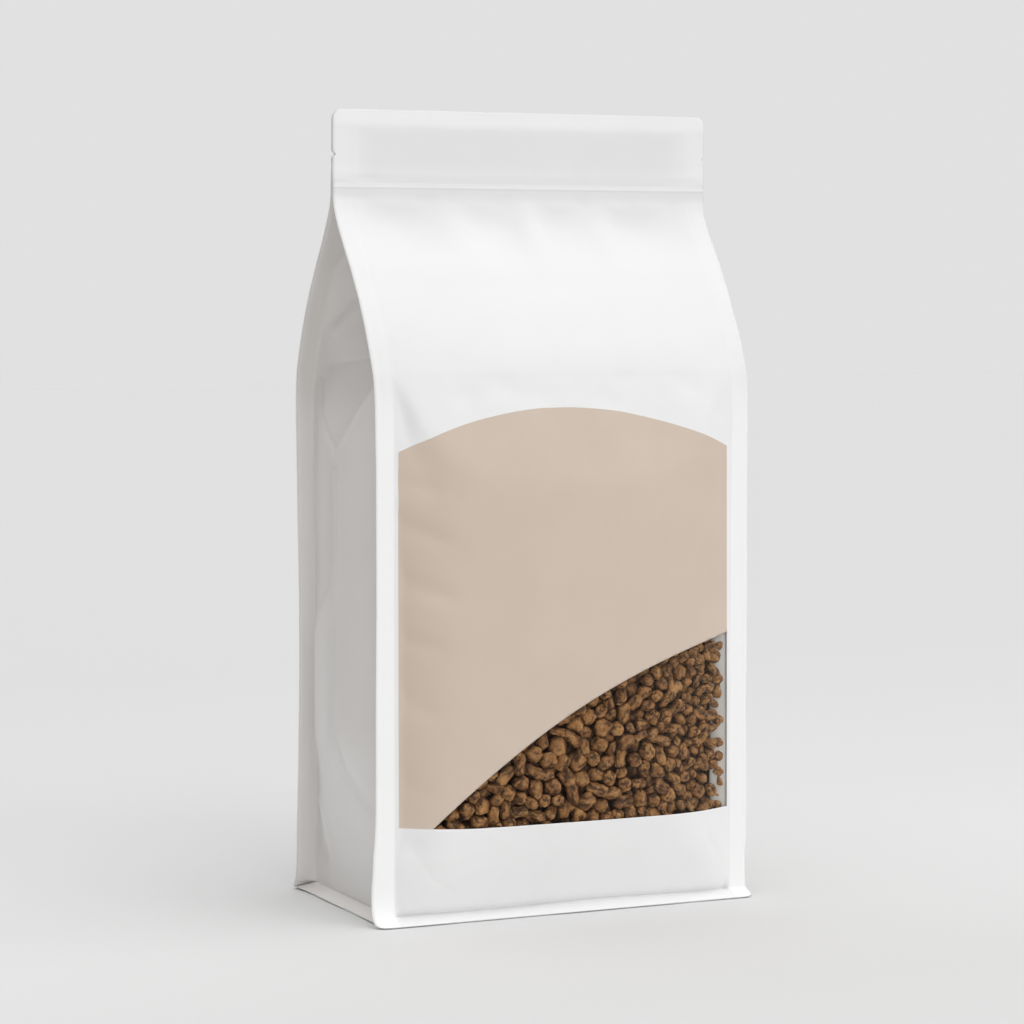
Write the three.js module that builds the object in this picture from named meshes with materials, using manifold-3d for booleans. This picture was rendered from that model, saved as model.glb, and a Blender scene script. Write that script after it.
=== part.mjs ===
// Pet food bag: a flat-bottom, side-gusset pouch of matt white laminate with a
// press-to-close zip under a heat-sealed, notched header, and a clear window low
// on the front that shows the kibble inside. Millimetres, +Z up, origin on the
// floor at the centre of the base, front towards -Y.
import * as THREE from 'three';
import Module from 'manifold-3d';
import { mergeVertices } from 'three/addons/utils/BufferGeometryUtils.js';

// ---------------------------------------------------------------- dimensions
const HEIGHT = 424;            // floor to the top edge of the header
const HEADER_W = 220;          // flat width across the header
const BODY_W = 217;            // outer edges of the corner fins, bag filled
const DEPTH = 112.5;           // front fin plane to back fin plane
const FIN_W = 10.5;            // width of the corner seal fins
const FILM = 0.3;              // film thickness
const PLY = 0.6;               // centre to centre of two plies in a seal
const CREASE_Z = 4.0;          // height of the fold above the base flange
const FLANGE_OUT = 9.05;       // how far the front and back base flanges reach
const FLANGE_EDGE_Z = 0.75;    // height of the upper flange ply at its free edge
const SIDE_CREASE_X = 98.2;    // fold above the side base flange
const SIDE_FLANGE_X = 107;     // free edge of the side base flange
const ZIP_Z = 384;             // centre of the zip bead
const NOTCH_Z = 400;           // tear notches
const NOTCH_DEPTH = 1.8;
const CORNER_R = 5.5;          // rounded header corners
const GUSSET_APEX_Z = 244;     // where the side gusset starts to tuck inwards
const GUSSET_TUCK = 44.5;      // how far the fold is tucked in at the header
const FILL_TOP = 262;          // top of the kibble
const WINDOW = { left: -77, right: 95.5, bottom: 49, top: 145 };

const FY = DEPTH / 2;
const FIN_IN = BODY_W / 2 - FIN_W;       // inner edge of the fins, x = 98
const GX = FIN_IN + 0.5;                 // gusset turns in behind the fin here

// Half depth of the bag (panel centre plane) against height.
const PROFILE = [
  [CREASE_Z, FY], [25, FY], [50, FY], [80, FY], [115, FY], [150, FY], [185, FY],
  [215, FY], [240, FY], [262, 56.2], [277, 55.7], [291, 53.2], [306, 46.6],
  [322, 37.8], [338, 27.0], [352, 16.8], [364, 8.2], [372, 4.2], [377, 2.0],
  [379, 1.5], [382, 1.5], [383, 1.95], [385, 1.95], [386, 1.5], [390, 1.5],
  [392, 0.9], [408, 0.9], [HEIGHT, 0.9],
];
// Outward bulge of the front and back panels between the fins.
const BULGE = [
  [CREASE_Z, 0], [25, 8.5], [50, 13], [80, 15], [115, 15.5], [150, 15], [185, 14],
  [215, 12.5], [240, 10.5], [262, 8.5], [277, 7], [291, 5.5], [306, 4.5],
  [322, 3.5], [338, 2.5], [352, 1.6], [364, 0.8], [372, 0.3], [377, 0], [HEIGHT, 0],
];
// Outward bulge of the side gussets.
const SIDE_BULGE = [
  [CREASE_Z, 0], [25, 4.5], [50, 7.5], [80, 8.8], [115, 9], [215, 9], [240, 8.5],
  [262, 7], [277, 5], [291, 3], [306, 1.5], [322, 0], [HEIGHT, 0],
];

function lookup(table, z) {
  if (z <= table[0][0]) return table[0][1];
  for (let i = 1; i < table.length; i++) {
    if (z <= table[i][0]) {
      const [z0, a] = table[i - 1];
      const [z1, b] = table[i];
      return a + (b - a) * (z - z0) / (z1 - z0);
    }
  }
  return table[table.length - 1][1];
}

// Offset of the profile towards the inside of the bag, along its normal.
function inset(j, d) {
  const [z, y] = PROFILE[j];
  const a = PROFILE[Math.max(0, j - 1)];
  const b = PROFILE[Math.min(PROFILE.length - 1, j + 1)];
  const dz = b[0] - a[0];
  const dy = b[1] - a[1];
  const l = Math.hypot(dz, dy);
  return [z + (dy / l) * d, y - (dz / l) * d];
}

function panelBulge(x, z) {
  const u = Math.min(1, Math.abs(x) / FIN_IN);
  return lookup(BULGE, z) * (1 - u * u);
}

// Half width at the outer edge of the fins, widening to the flat header.
function outerX(z) {
  return lookup([[0, BODY_W / 2], [285, BODY_W / 2], [376, HEADER_W / 2], [HEIGHT, HEADER_W / 2]], z);
}

// ------------------------------------------------------------ thin film solid
// Thickens an open sheet of triangles by half the film to either side and
// closes its free edges.
function filmGeometry(points, tris, thickness = FILM) {
  const n = points.length;
  const normals = points.map(() => new THREE.Vector3());
  const p = points.map((q) => new THREE.Vector3(...q));
  for (const [a, b, c] of tris) {
    const f = new THREE.Vector3().subVectors(p[b], p[a]).cross(new THREE.Vector3().subVectors(p[c], p[a]));
    normals[a].add(f);
    normals[b].add(f);
    normals[c].add(f);
  }
  const pos = [];
  for (const side of [0.5, -0.5]) {
    for (let i = 0; i < n; i++) {
      const m = normals[i].clone().normalize().multiplyScalar(side * thickness);
      pos.push(p[i].x + m.x, p[i].y + m.y, p[i].z + m.z);
    }
  }
  const index = [];
  const edges = new Map();
  for (const [a, b, c] of tris) {
    index.push(a, b, c, n + a, n + c, n + b);
    for (const [s, t] of [[a, b], [b, c], [c, a]]) edges.set(`${s},${t}`, [s, t]);
  }
  for (const [s, t] of edges.values()) {
    if (edges.has(`${t},${s}`)) continue;
    index.push(t, s, n + s, t, n + s, n + t);
  }
  const g = new THREE.BufferGeometry();
  g.setAttribute('position', new THREE.Float32BufferAttribute(pos, 3));
  g.setIndex(index);
  return g;
}

// Rows of points joined into a sheet; flip turns its faces over.
function rowsToSheet(rows, flip = false) {
  const cols = rows[0].length;
  const tris = [];
  for (let j = 0; j + 1 < rows.length; j++) {
    for (let i = 0; i + 1 < cols; i++) {
      const a = j * cols + i;
      const b = a + 1;
      const c = a + cols + 1;
      const d = a + cols;
      const pair = i < cols / 2 ? [[a, b, c], [a, c, d]] : [[a, b, d], [b, c, d]];
      for (const t of pair) tris.push(flip ? [t[0], t[2], t[1]] : t);
    }
  }
  return { points: rows.flat(), tris };
}

// ----------------------------------------------------------- manifold helpers
const wasm = await Module();
wasm.setup();

function toSolid(geometry) {
  let g = geometry.clone();
  for (const name of Object.keys(g.attributes)) if (name !== 'position') g.deleteAttribute(name);
  g = mergeVertices(g, 1e-4);
  return new wasm.Manifold(new wasm.Mesh({
    numProp: 3,
    vertProperties: new Float32Array(g.attributes.position.array),
    triVerts: new Uint32Array(g.index.array),
  }));
}

function fromSolid(solid) {
  const mesh = solid.getMesh();
  const g = new THREE.BufferGeometry();
  const v = new Float32Array((mesh.vertProperties.length / mesh.numProp) * 3);
  for (let i = 0; i < v.length / 3; i++) {
    for (let k = 0; k < 3; k++) v[3 * i + k] = mesh.vertProperties[i * mesh.numProp + k];
  }
  g.setAttribute('position', new THREE.BufferAttribute(v, 3));
  g.setIndex(new THREE.BufferAttribute(new Uint32Array(mesh.triVerts), 1));
  return g;
}

// A flat outline in the X-Z plane made into a prism along Y.
function prism(points, y0, y1) {
  const shape = new THREE.Shape(points.map(([x, z]) => new THREE.Vector2(x, z)));
  const g = new THREE.ExtrudeGeometry(shape, { depth: y1 - y0, bevelEnabled: false });
  g.rotateX(Math.PI / 2);
  g.translate(0, y1, 0);
  return g;
}

// The header's rounded corners and tear notches, cut through every ply.
const cutters = [];
for (const s of [-1, 1]) {
  const w = HEADER_W / 2;
  const corner = [[w + 2, HEIGHT - CORNER_R], [w + 2, HEIGHT + 2], [w - CORNER_R, HEIGHT + 2]];
  for (let k = 0; k <= 5; k++) {
    const a = Math.PI / 2 - (k / 5) * (Math.PI / 2);
    corner.push([w - CORNER_R + CORNER_R * Math.cos(a), HEIGHT - CORNER_R + CORNER_R * Math.sin(a)]);
  }
  const notch = [[w + 1, NOTCH_Z - 1.7], [w + 1, NOTCH_Z + 1.7], [w - NOTCH_DEPTH, NOTCH_Z]];
  for (const outline of [corner, notch]) {
    const pts = outline.map(([x, z]) => [s * x, z]);
    if (s < 0) pts.reverse();
    cutters.push(toSolid(prism(pts, -12, 12)));
  }
}
function trimHeader(solid) {
  return cutters.reduce((s, c) => s.subtract(c), solid);
}

// ------------------------------------------------------- front and back panel
const COLS = [-FIN_IN, -84, -64, -42, -21, 0, 21, 42, 64, 84, FIN_IN];

function panelRows(side) {
  const rows = [];
  const flange = (x) => [x, side * (FY + FLANGE_OUT), FLANGE_EDGE_Z];
  rows.push([-BODY_W / 2, ...COLS, BODY_W / 2].map(flange));
  for (const [z, y] of PROFILE) {
    const w = outerX(z);
    rows.push([-w, ...COLS, w].map((x) => [x, side * (y + panelBulge(x, z)), z]));
  }
  return rows;
}

// Clear window opening, bounded above by one long arc.
function windowOutline() {
  const { left, right, bottom, top } = WINDOW;
  const pts = [[left, bottom], [right, bottom], [right, top]];
  const rise = 13;
  const dx = right - left;
  const dz = top - bottom;
  const l = Math.hypot(dx, dz);
  for (let k = 1; k < 12; k++) {
    const f = k / 12;
    const sag = 4 * rise * f * (1 - f);
    pts.push([right - dx * f - (sag * dz) / l, top - dz * f + (sag * dx) / l]);
  }
  return pts;
}

const front = rowsToSheet(panelRows(-1));
let frontSolid = trimHeader(toSolid(filmGeometry(front.points, front.tris)));
frontSolid = frontSolid.subtract(toSolid(prism(windowOutline(), -100, -20)));
const back = rowsToSheet(panelRows(1), true);
const backSolid = trimHeader(toSolid(filmGeometry(back.points, back.tris)));

// -------------------------------------------------------------- window film
// A straight web of clear film sealed behind the opening.
function windowFilm() {
  const rows = [];
  const cols = [-88, -84, -64, -42, -21, 0, 21, 42, 64, 84, 97.2];
  for (const z of [42, 50, 80, 115, 150, 158]) {
    rows.push(cols.map((x) => [x, -(FY + panelBulge(x, z)) + PLY, z]));
  }
  return rowsToSheet(rows);
}
const clear = windowFilm();

// ------------------------------------------------------------- side gussets
// Each gusset is one web: a fin ply behind the front panel, the side wall that
// swells out below and tucks in above, and a fin ply inside the back panel.
const T = [-1, -0.75, -0.5, -0.25, -0.1, 0, 0.1, 0.25, 0.5, 0.75, 1];

function gussetPlane(j) {
  const [z] = PROFILE[j];
  if (z >= 379) return [z, PLY / 2];
  if (z >= 377) return [z, 1.2];
  return inset(j, PLY);
}

function gussetX(t, z) {
  const bulge = lookup(SIDE_BULGE, z) * (1 - t * t);
  const k = THREE.MathUtils.clamp((z - GUSSET_APEX_Z) / (379 - GUSSET_APEX_Z), 0, 1);
  const w = THREE.MathUtils.clamp((z - GUSSET_APEX_Z) / 41, 0.001, 1);
  return GX + bulge - GUSSET_TUCK * k * Math.max(0, 1 - Math.abs(t) / w);
}

function gusset(side) {
  const points = [];
  const rows = [];
  const flange = T.map((t) => [side * SIDE_FLANGE_X, t * (FY - PLY - 0.45), FLANGE_EDGE_Z]);
  for (let j = 0; j < PROFILE.length; j++) {
    const [z, y] = gussetPlane(j);
    const zr = j === 0 ? CREASE_Z : z;
    const w = outerX(zr) - 0.2;
    const row = [[side * w, -y, zr]];
    for (const t of T) {
      const keep = Math.min(PLY / 2, 3 * Math.abs(t));
      const x = j === 0 ? GX + (SIDE_CREASE_X - GX) * (1 - t * t) : gussetX(t, zr);
      row.push([side * x, Math.sign(t) * Math.max(Math.abs(t) * y, keep), zr]);
    }
    row.push([side * w, y, zr]);
    rows.push(row);
  }
  const cols = rows[0].length;
  for (const r of rows) points.push(...r);
  const base = points.length;
  points.push(...flange);
  const tris = [];
  const quad = (a, b, c, d, i) => {
    const pair = i < cols / 2 ? [[a, b, c], [a, c, d]] : [[a, b, d], [b, c, d]];
    for (const t of pair) tris.push(side > 0 ? t : [t[0], t[2], t[1]]);
  };
  for (let j = 0; j + 1 < rows.length; j++) {
    for (let i = 0; i + 1 < cols; i++) {
      const a = j * cols + i;
      quad(a, a + 1, a + cols + 1, a + cols, i);
    }
  }
  for (let i = 0; i + 1 < T.length; i++) quad(base + i, base + i + 1, i + 2, i + 1, i);
  return trimHeader(toSolid(filmGeometry(points, tris)));
}

// -------------------------------------------------------------- bottom panel
// Flat on the floor, rising to the fold and doubling down under the flanges.
function bottomPanel() {
  const ex = SIDE_FLANGE_X;
  const ey = FY + FLANGE_OUT - 0.2;
  const xs = [-ex, -ex + 8.6, -ex + 18, -60, -30, 0, 30, 60, ex - 18, ex - 8.6, ex];
  const ys = [-ey, -ey + 8.6, -ey + 18, -20, 0, 20, ey - 18, ey - 8.6, ey];
  const lie = FILM / 2;
  const height = (x, y) => {
    const e = Math.min(ex - Math.abs(x), ey - Math.abs(y));
    if (e < 8.6) return lie + (3.09 * e) / 8.6;
    if (e < 18 - 1e-6) return lie + 3.09 * (1 - (e - 8.6) / 9.4);
    return lie;
  };
  const pts = [];
  for (const y of ys) for (const x of xs) pts.push([x, y, height(x, y)]);
  const tris = [];
  const n = xs.length;
  for (let j = 0; j + 1 < ys.length; j++) {
    for (let i = 0; i + 1 < n; i++) {
      const a = j * n + i;
      const b = a + 1;
      const c = a + n + 1;
      const d = a + n;
      const towards = (xs[i] + xs[i + 1]) * (ys[j] + ys[j + 1]) >= 0;
      tris.push(...(towards ? [[a, b, c], [a, c, d]] : [[a, b, d], [b, c, d]]));
    }
  }
  const g = filmGeometry(pts, tris);
  // the underside is exactly the floor plane where the panel lies flat
  const p = g.attributes.position;
  for (let i = 0; i < p.count; i++) if (p.getZ(i) < 0.02) p.setZ(i, 0);
  return g;
}

// ------------------------------------------------------------------- zip
// Two extruded tapes, one sealed inside each panel. Between the tucked gussets
// the rib stands in the groove; beyond them only the tapes run on to the fins.
function bar(x, y0, y1, z0, z1) {
  const g = new THREE.BoxGeometry(2 * x, y1 - y0, z1 - z0);
  g.translate(0, (y0 + y1) / 2, (z0 + z1) / 2);
  return toSolid(g);
}
function zipGroove() {
  return bar(107.5, -1.05, -0.75, ZIP_Z - 4.5, ZIP_Z + 5)
    .add(bar(107.5, -1.5, -0.8, ZIP_Z - 1, ZIP_Z + 1))
    .subtract(bar(52, -1.2, 3, ZIP_Z - 1, ZIP_Z + 1))
    .add(bar(51.5, -1.0, 0.2, ZIP_Z - 1.8, ZIP_Z - 1))
    .add(bar(51.5, -1.0, 0.2, ZIP_Z + 1, ZIP_Z + 1.8));
}
function zipRib() {
  return bar(107.5, 0.75, 1.05, ZIP_Z - 4.5, ZIP_Z + 5)
    .add(bar(107.5, 0.8, 1.5, ZIP_Z - 1, ZIP_Z + 1))
    .add(bar(51.5, -0.95, 0.9, ZIP_Z - 0.35, ZIP_Z + 0.35))
    .add(bar(51.5, -0.95, -0.45, ZIP_Z - 0.65, ZIP_Z + 0.65));
}

// ------------------------------------------------------------------ kibble
// The fill as one settled mass, just clear of the film all round.
function kibble() {
  const clearance = 1.4;
  const zs = [0.9, 5, 25, 50, 80, 115, 150, 185, 215, 240, 255, FILL_TOP];
  const frontX = [-94, -84, -64, -42, -21, 0, 21, 42, 64, 84, 94];
  const sideT = [-0.75, -0.5, -0.25, 0, 0.25, 0.5, 0.75];
  const rings = zs.map((z, k) => {
    const shrink = k === 0 ? 10 : k === zs.length - 1 ? 14 : k === zs.length - 2 ? 3 : 0;
    const ring = [];
    const yAt = (x) => lookup(PROFILE, z) + panelBulge(x, z) - clearance - shrink;
    const xAt = (t) => gussetX(t, z) - clearance - shrink;
    const fx = (x) => x * (1 - shrink / 100);
    for (const x of frontX) ring.push([fx(x), -yAt(x), z]);
    for (const t of sideT) ring.push([xAt(t), t * (54 - shrink), z]);
    for (const x of frontX) ring.push([-fx(x), yAt(x), z]);
    for (const t of sideT) ring.push([-xAt(t), -t * (54 - shrink), z]);
    return ring;
  });
  const n = rings[0].length;
  const pos = rings.flat(2);
  const index = [];
  for (let k = 0; k + 1 < rings.length; k++) {
    for (let i = 0; i < n; i++) {
      const a = k * n + i;
      const b = k * n + ((i + 1) % n);
      index.push(a, b, b + n, a, b + n, a + n);
    }
  }
  const low = pos.length / 3;
  pos.push(0, 0, zs[0]);
  const high = low + 1;
  pos.push(0, 0, FILL_TOP + 6);
  const lastRing = (rings.length - 1) * n;
  for (let i = 0; i < n; i++) {
    const j = (i + 1) % n;
    index.push(low, j, i);
    index.push(high, lastRing + i, lastRing + j);
  }
  const g = new THREE.BufferGeometry();
  g.setAttribute('position', new THREE.Float32BufferAttribute(pos, 3));
  g.setIndex(index);
  return g;
}

// ---------------------------------------------------------------- materials
const film = () => new THREE.MeshStandardMaterial({ color: 0xf0f0ee, roughness: 0.5, metalness: 0 });
const clearFilm = new THREE.MeshStandardMaterial({
  color: 0xeef1f0, roughness: 0.12, metalness: 0, transparent: true, opacity: 0.25,
});
const zipPlastic = () => new THREE.MeshStandardMaterial({ color: 0xe6e8e8, roughness: 0.35, metalness: 0 });
const food = new THREE.MeshStandardMaterial({ color: 0x7a4a26, roughness: 0.85, metalness: 0 });

// ----------------------------------------------------------------- assembly
const bag = new THREE.Group();
bag.name = 'pet_food_bag';
function add(name, geometry, material) {
  geometry.computeVertexNormals();
  const mesh = new THREE.Mesh(geometry, material);
  mesh.name = name;
  bag.add(mesh);
  return mesh;
}
add('front_panel', fromSolid(frontSolid), film());
add('back_panel', fromSolid(backSolid), film());
add('left_gusset', fromSolid(gusset(-1)), film());
add('right_gusset', fromSolid(gusset(1)), film());
add('bottom_panel', bottomPanel(), film());
add('window_film', filmGeometry(clear.points, clear.tris), clearFilm);
add('zip_groove_strip', fromSolid(zipGroove()), zipPlastic());
add('zip_rib_strip', fromSolid(zipRib()), zipPlastic());
add('kibble_fill', kibble(), food);

export default bag;
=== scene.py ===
import math

import bpy
import numpy as np
from mathutils import Matrix, Vector, noise


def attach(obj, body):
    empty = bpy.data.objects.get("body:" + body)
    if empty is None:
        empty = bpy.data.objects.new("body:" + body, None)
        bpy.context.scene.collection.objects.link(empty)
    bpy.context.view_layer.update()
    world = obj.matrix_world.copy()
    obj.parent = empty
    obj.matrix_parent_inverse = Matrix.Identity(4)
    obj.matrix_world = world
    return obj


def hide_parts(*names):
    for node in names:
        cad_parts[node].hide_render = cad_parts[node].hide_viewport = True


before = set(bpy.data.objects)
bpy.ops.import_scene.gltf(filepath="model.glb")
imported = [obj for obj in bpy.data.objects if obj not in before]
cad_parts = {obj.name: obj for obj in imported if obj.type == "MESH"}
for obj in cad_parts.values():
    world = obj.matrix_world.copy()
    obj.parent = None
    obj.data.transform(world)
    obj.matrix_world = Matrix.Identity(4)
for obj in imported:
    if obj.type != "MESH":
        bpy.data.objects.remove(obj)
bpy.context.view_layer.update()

# ------------------------------------------------------------------ helpers
# All shaping is done in millimetres in the CAD frame; meshes are stored in metres.
MM = 0.001
FILM = 0.3                      # film thickness
GX = 98.5                       # the gusset turns in behind the fin here
PLY = 0.6                       # centre to centre of two plies


def smooth01(t):
    t = np.clip(t, 0.0, 1.0)
    return t * t * (3 - 2 * t)


def softmin(a, b, k):
    """Smooth minimum of a and b with a rounding of about k."""
    h = np.clip(0.5 + 0.5 * (b - a) / k, 0, 1)
    return b * (1 - h) + a * h - k * h * (1 - h)


def softmax(a, b, k):
    return -softmin(-a, -b, k)


class Curve:
    """Monotone cubic through control points, flat outside them."""

    def __init__(self, pts):
        p = np.array(pts, float)
        self.x, self.y = p[:, 0], p[:, 1]
        h = np.diff(self.x)
        d = np.diff(self.y) / h
        m = np.zeros_like(self.x)
        for i in range(1, len(m) - 1):
            if d[i - 1] * d[i] > 0:
                w1 = 2 * h[i] + h[i - 1]
                w2 = h[i] + 2 * h[i - 1]
                m[i] = (w1 + w2) / (w1 / d[i - 1] + w2 / d[i])
        m[0], m[-1] = d[0], d[-1]
        self.m, self.h = m, h

    def __call__(self, v):
        v = np.clip(np.asarray(v, float), self.x[0], self.x[-1])
        i = np.clip(np.searchsorted(self.x, v) - 1, 0, len(self.h) - 1)
        h = self.h[i]
        t = (v - self.x[i]) / h
        t2, t3 = t * t, t * t * t
        return ((2 * t3 - 3 * t2 + 1) * self.y[i] + (t3 - 2 * t2 + t) * h * self.m[i]
                + (-2 * t3 + 3 * t2) * self.y[i + 1] + (t3 - t2) * h * self.m[i + 1])


def lattice_noise(x, y, cell, seed):
    """Smooth value noise in -1..1 on a seeded lattice."""
    rng = np.random.RandomState(seed)
    table = rng.uniform(-1, 1, (97, 89))
    u, v = np.asarray(x, float) / cell + 40, np.asarray(y, float) / cell + 40
    iu, iv = np.floor(u).astype(int), np.floor(v).astype(int)
    fu, fv = smooth01(u - iu), smooth01(v - iv)
    g = lambda a, b: table[a % 97, b % 89]
    return ((g(iu, iv) * (1 - fu) + g(iu + 1, iv) * fu) * (1 - fv)
            + (g(iu, iv + 1) * (1 - fu) + g(iu + 1, iv + 1) * fu) * fv)


def blob(x, z, cx, cz, rx, rz, angle=0.0):
    """Soft round bump of height 1 at (cx, cz)."""
    a = math.radians(angle)
    dx, dz = x - cx, z - cz
    u = (dx * math.cos(a) + dz * math.sin(a)) / rx
    v = (-dx * math.sin(a) + dz * math.cos(a)) / rz
    return np.exp(-(u * u + v * v))


def along(x, z, pts):
    """Distance to a polyline, signed by side, and how far along it (0..1)."""
    best = np.full(np.shape(x), 1e9)
    sign = np.ones(np.shape(x))
    frac = np.zeros(np.shape(x))
    p = np.array(pts, float)
    seg = np.hypot(*np.diff(p, axis=0).T)
    total, run = seg.sum(), 0.0
    for k in range(len(p) - 1):
        ax, az = p[k]
        bx, bz = p[k + 1]
        t = np.clip(((x - ax) * (bx - ax) + (z - az) * (bz - az)) / seg[k] ** 2, 0, 1)
        d = np.hypot(x - (ax + t * (bx - ax)), z - (az + t * (bz - az)))
        s = np.where((bx - ax) * (z - az) - (bz - az) * (x - ax) >= 0, 1.0, -1.0)
        m = d < best
        best = np.where(m, d, best)
        sign = np.where(m, s, sign)
        frac = np.where(m, (run + t * seg[k]) / total, frac)
        run += seg[k]
    return best, sign, frac


def fold(x, z, pts, width, taper=0.25):
    """Sharp-topped ridge of height 1 along a polyline, fading at its ends."""
    d, _, f = along(x, z, pts)
    ends = smooth01(f / taper) * smooth01((1 - f) / taper) if taper else 1.0
    return np.exp(-np.sqrt((d / width) ** 2 + 0.02) * 1.6) * ends


def new_mesh(name, verts_mm, faces, slots=None):
    me = bpy.data.meshes.new(name)
    me.from_pydata((np.asarray(verts_mm) * MM).tolist(), [], [list(map(int, f)) for f in faces])
    me.polygons.foreach_set("use_smooth", [True] * len(me.polygons))
    if slots is not None:
        me.polygons.foreach_set("material_index", list(map(int, slots)))
    me.update()
    ob = bpy.data.objects.new(name, me)
    bpy.context.scene.collection.objects.link(ob)
    return ob


def vertex_normals(V, F):
    n = np.zeros_like(V)
    for k in (3, 4):
        f = np.array([q for q in F if len(q) == k], int)
        if len(f) == 0:
            continue
        a, b, c = V[f[:, 0]], V[f[:, 1]], V[f[:, 2]]
        d = V[f[:, -1]]
        fn = np.cross(c - a, d - b) if k == 4 else np.cross(b - a, c - a)
        for j in range(k):
            np.add.at(n, f[:, j], fn)
    l = np.linalg.norm(n, axis=1, keepdims=True)
    return n / np.maximum(l, 1e-12)


def film_piece(name, V, F, slots=None, thickness=FILM):
    """A closed thin solid: the sheet, its inner face and its cut edges."""
    V = np.asarray(V, float)
    N = vertex_normals(V, F)
    n = len(V)
    top, low = V + N * thickness / 2, V - N * thickness / 2
    faces = [list(f) for f in F] + [[n + i for i in reversed(f)] for f in F]
    sl = list(slots) if slots is not None else [0] * len(F)
    sl = sl + [0] * len(F)
    edges = {}
    for k, f in enumerate(F):
        for a, b in zip(f, list(f[1:]) + [f[0]]):
            edges[(a, b)] = k
    for (a, b), k in edges.items():
        if (b, a) not in edges:
            faces.append([b, a, n + a, n + b])
            sl.append(sl[k])
    return new_mesh(name, np.vstack([top, low]), faces, sl)


def spaced(a, b, step):
    n = max(1, int(round((b - a) / step)))
    return list(np.linspace(a, b, n + 1)[:-1])


def grid_faces(rows, cols, flip=False, offset=0):
    out = []
    for j in range(rows - 1):
        for i in range(cols - 1):
            a = offset + j * cols + i
            q = [a, a + 1, a + cols + 1, a + cols]
            out.append(q[::-1] if flip else q)
    return out


# ------------------------------------------------------------- camera, stage
cam_data = bpy.data.cameras.new("camera")
cam_data.lens = 113.27
cam_data.sensor_width = 36.0
cam_data.clip_start = 0.05
cam_data.clip_end = 60.0
cam = bpy.data.objects.new("camera", cam_data)
bpy.context.scene.collection.objects.link(cam)
cam.location = (-0.73062, -1.58486, 0.33062)
aim = Vector((-0.005987, 0.0, 0.20896)) - cam.location
cam.rotation_euler = aim.to_track_quat("-Z", "Y").to_euler()
bpy.context.scene.camera = cam
bpy.context.scene.view_settings.view_transform = "Standard"
bpy.context.scene.view_settings.look = "None"


# ------------------------------------------------------------ bag functions
# Half depth of the bag at the corner fins, against height.
HALF_DEPTH = Curve([
    (4, 56.25), (60, 56.25), (120, 56.25), (220, 56.3), (250, 56.6), (260, 56.8), (268, 56.7),
    (276, 56.1), (284, 55.0), (292, 52.3), (300.5, 48.8), (309, 44.7), (317.5, 40.1), (326, 34.9),
    (334, 29.2), (342.6, 23.3), (351, 17.3), (359.5, 11.3), (366, 7.1), (371, 4.2), (374.5, 2.7),
    (378, 1.85), (380, 1.55)])
# Lower edge of the flat band under the zip: a row of soft scallops.
BAND = Curve([
    (-112, 372.9), (-103, 372.6), (-87, 366.2), (-71.5, 362.2), (-61.7, 364.0), (-52, 367.0),
    (-43.3, 369.6), (-34, 366.4), (-26, 363.0), (-17.8, 361.9), (-9, 364.4), (-3, 368.4), (1.2, 371.4),
    (5.5, 368.2), (11, 364.6), (19.8, 362.6), (30, 364.4), (37, 367.0), (43.6, 369.0), (51, 365.2),
    (58, 361.8), (67.4, 360.4), (77, 362.2), (88, 366.8), (99.8, 371.3), (112, 372.4)])
ROOF = Curve([(240, 5.6), (284, 5.6), (291, 5.5), (306, 4.5), (322, 3.5), (338, 2.5), (352, 1.6),
              (364, 0.8), (372, 0.3), (377, 0.0), (378, 0.0)])
LEFT_EDGE = Curve([
    (12.4, 111.9), (21, 111.4), (29, 110.75), (37, 110.3), (45.7, 109.6), (54, 109.2), (62, 109.0),
    (79, 108.9), (112, 108.8), (145, 108.5), (178, 108.3), (211, 108.3), (236, 108.4), (252, 108.75),
    (269, 109.0), (285, 109.2), (301, 109.5), (334, 109.5), (351, 110.0), (368, 110.3), (381, 110.1),
    (424, 109.8)])
RIGHT_EDGE = Curve([
    (3.6, 108.4), (21, 108.0), (30, 108.5), (48, 108.8), (74, 108.6), (109, 108.2), (135, 108.6),
    (205, 108.4), (240, 108.2), (265, 108.1), (283, 108.5), (300, 108.4), (317, 108.1), (334, 108.8),
    (352, 109.0), (361, 108.7), (370, 108.9), (378.6, 109.5), (384, 109.7), (406, 110.0), (424, 110.1)])
BACK_LEFT_EDGE = Curve([
    (10, 110.45), (37, 110.0), (50, 109.6), (72, 109.1), (105, 108.5), (133, 108.2), (160, 108.2),
    (204, 108.8), (230, 109.1), (248, 109.2), (300, 109.6), (334, 110.1), (351, 110.2), (368, 110.4),
    (381, 110.1), (424, 109.8)])
TOP_Z = 424.0
CREASE_Z = 4.0
FIN_IN = 98.0
FY = 56.25


def edge_x(curve, z):
    """Outer edge of a fin, with the rounded header corner and the tear notch."""
    e = curve(z)
    r = 5.6
    up = np.clip(z - (TOP_Z - r), 0, r)
    e = e - (r - np.sqrt(np.maximum(r * r - up * up, 0)))
    return e - 1.7 * np.maximum(0, 1 - np.abs(z - 400.2) / 1.7)


def zip_relief(z):
    """Extra half depth of the film over the zip tape and its bead."""
    bead = smooth01((z - 382.5) / 0.8) * smooth01((385.5 - z) / 0.8)
    tape = smooth01((395.0 - z) / 6.0)
    return 0.9 + 0.42 * tape + 0.40 * bead


def half_depth(x, z, soft=1.0):
    """Half depth at the fins with the scalloped start of the roof."""
    band = 0.28 * (BAND(x - 4.5) + BAND(x + 4.5)) + 0.44 * BAND(x)
    drop = np.maximum(0, 373.2 - band) * smooth01((z - 336) / 28) * soft
    zz = np.minimum(z + drop, 380.0)
    y = HALF_DEPTH(zz)
    top = smooth01((z - 376.5) / 4.0)
    return y * (1 - top) + zip_relief(z) * top


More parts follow.
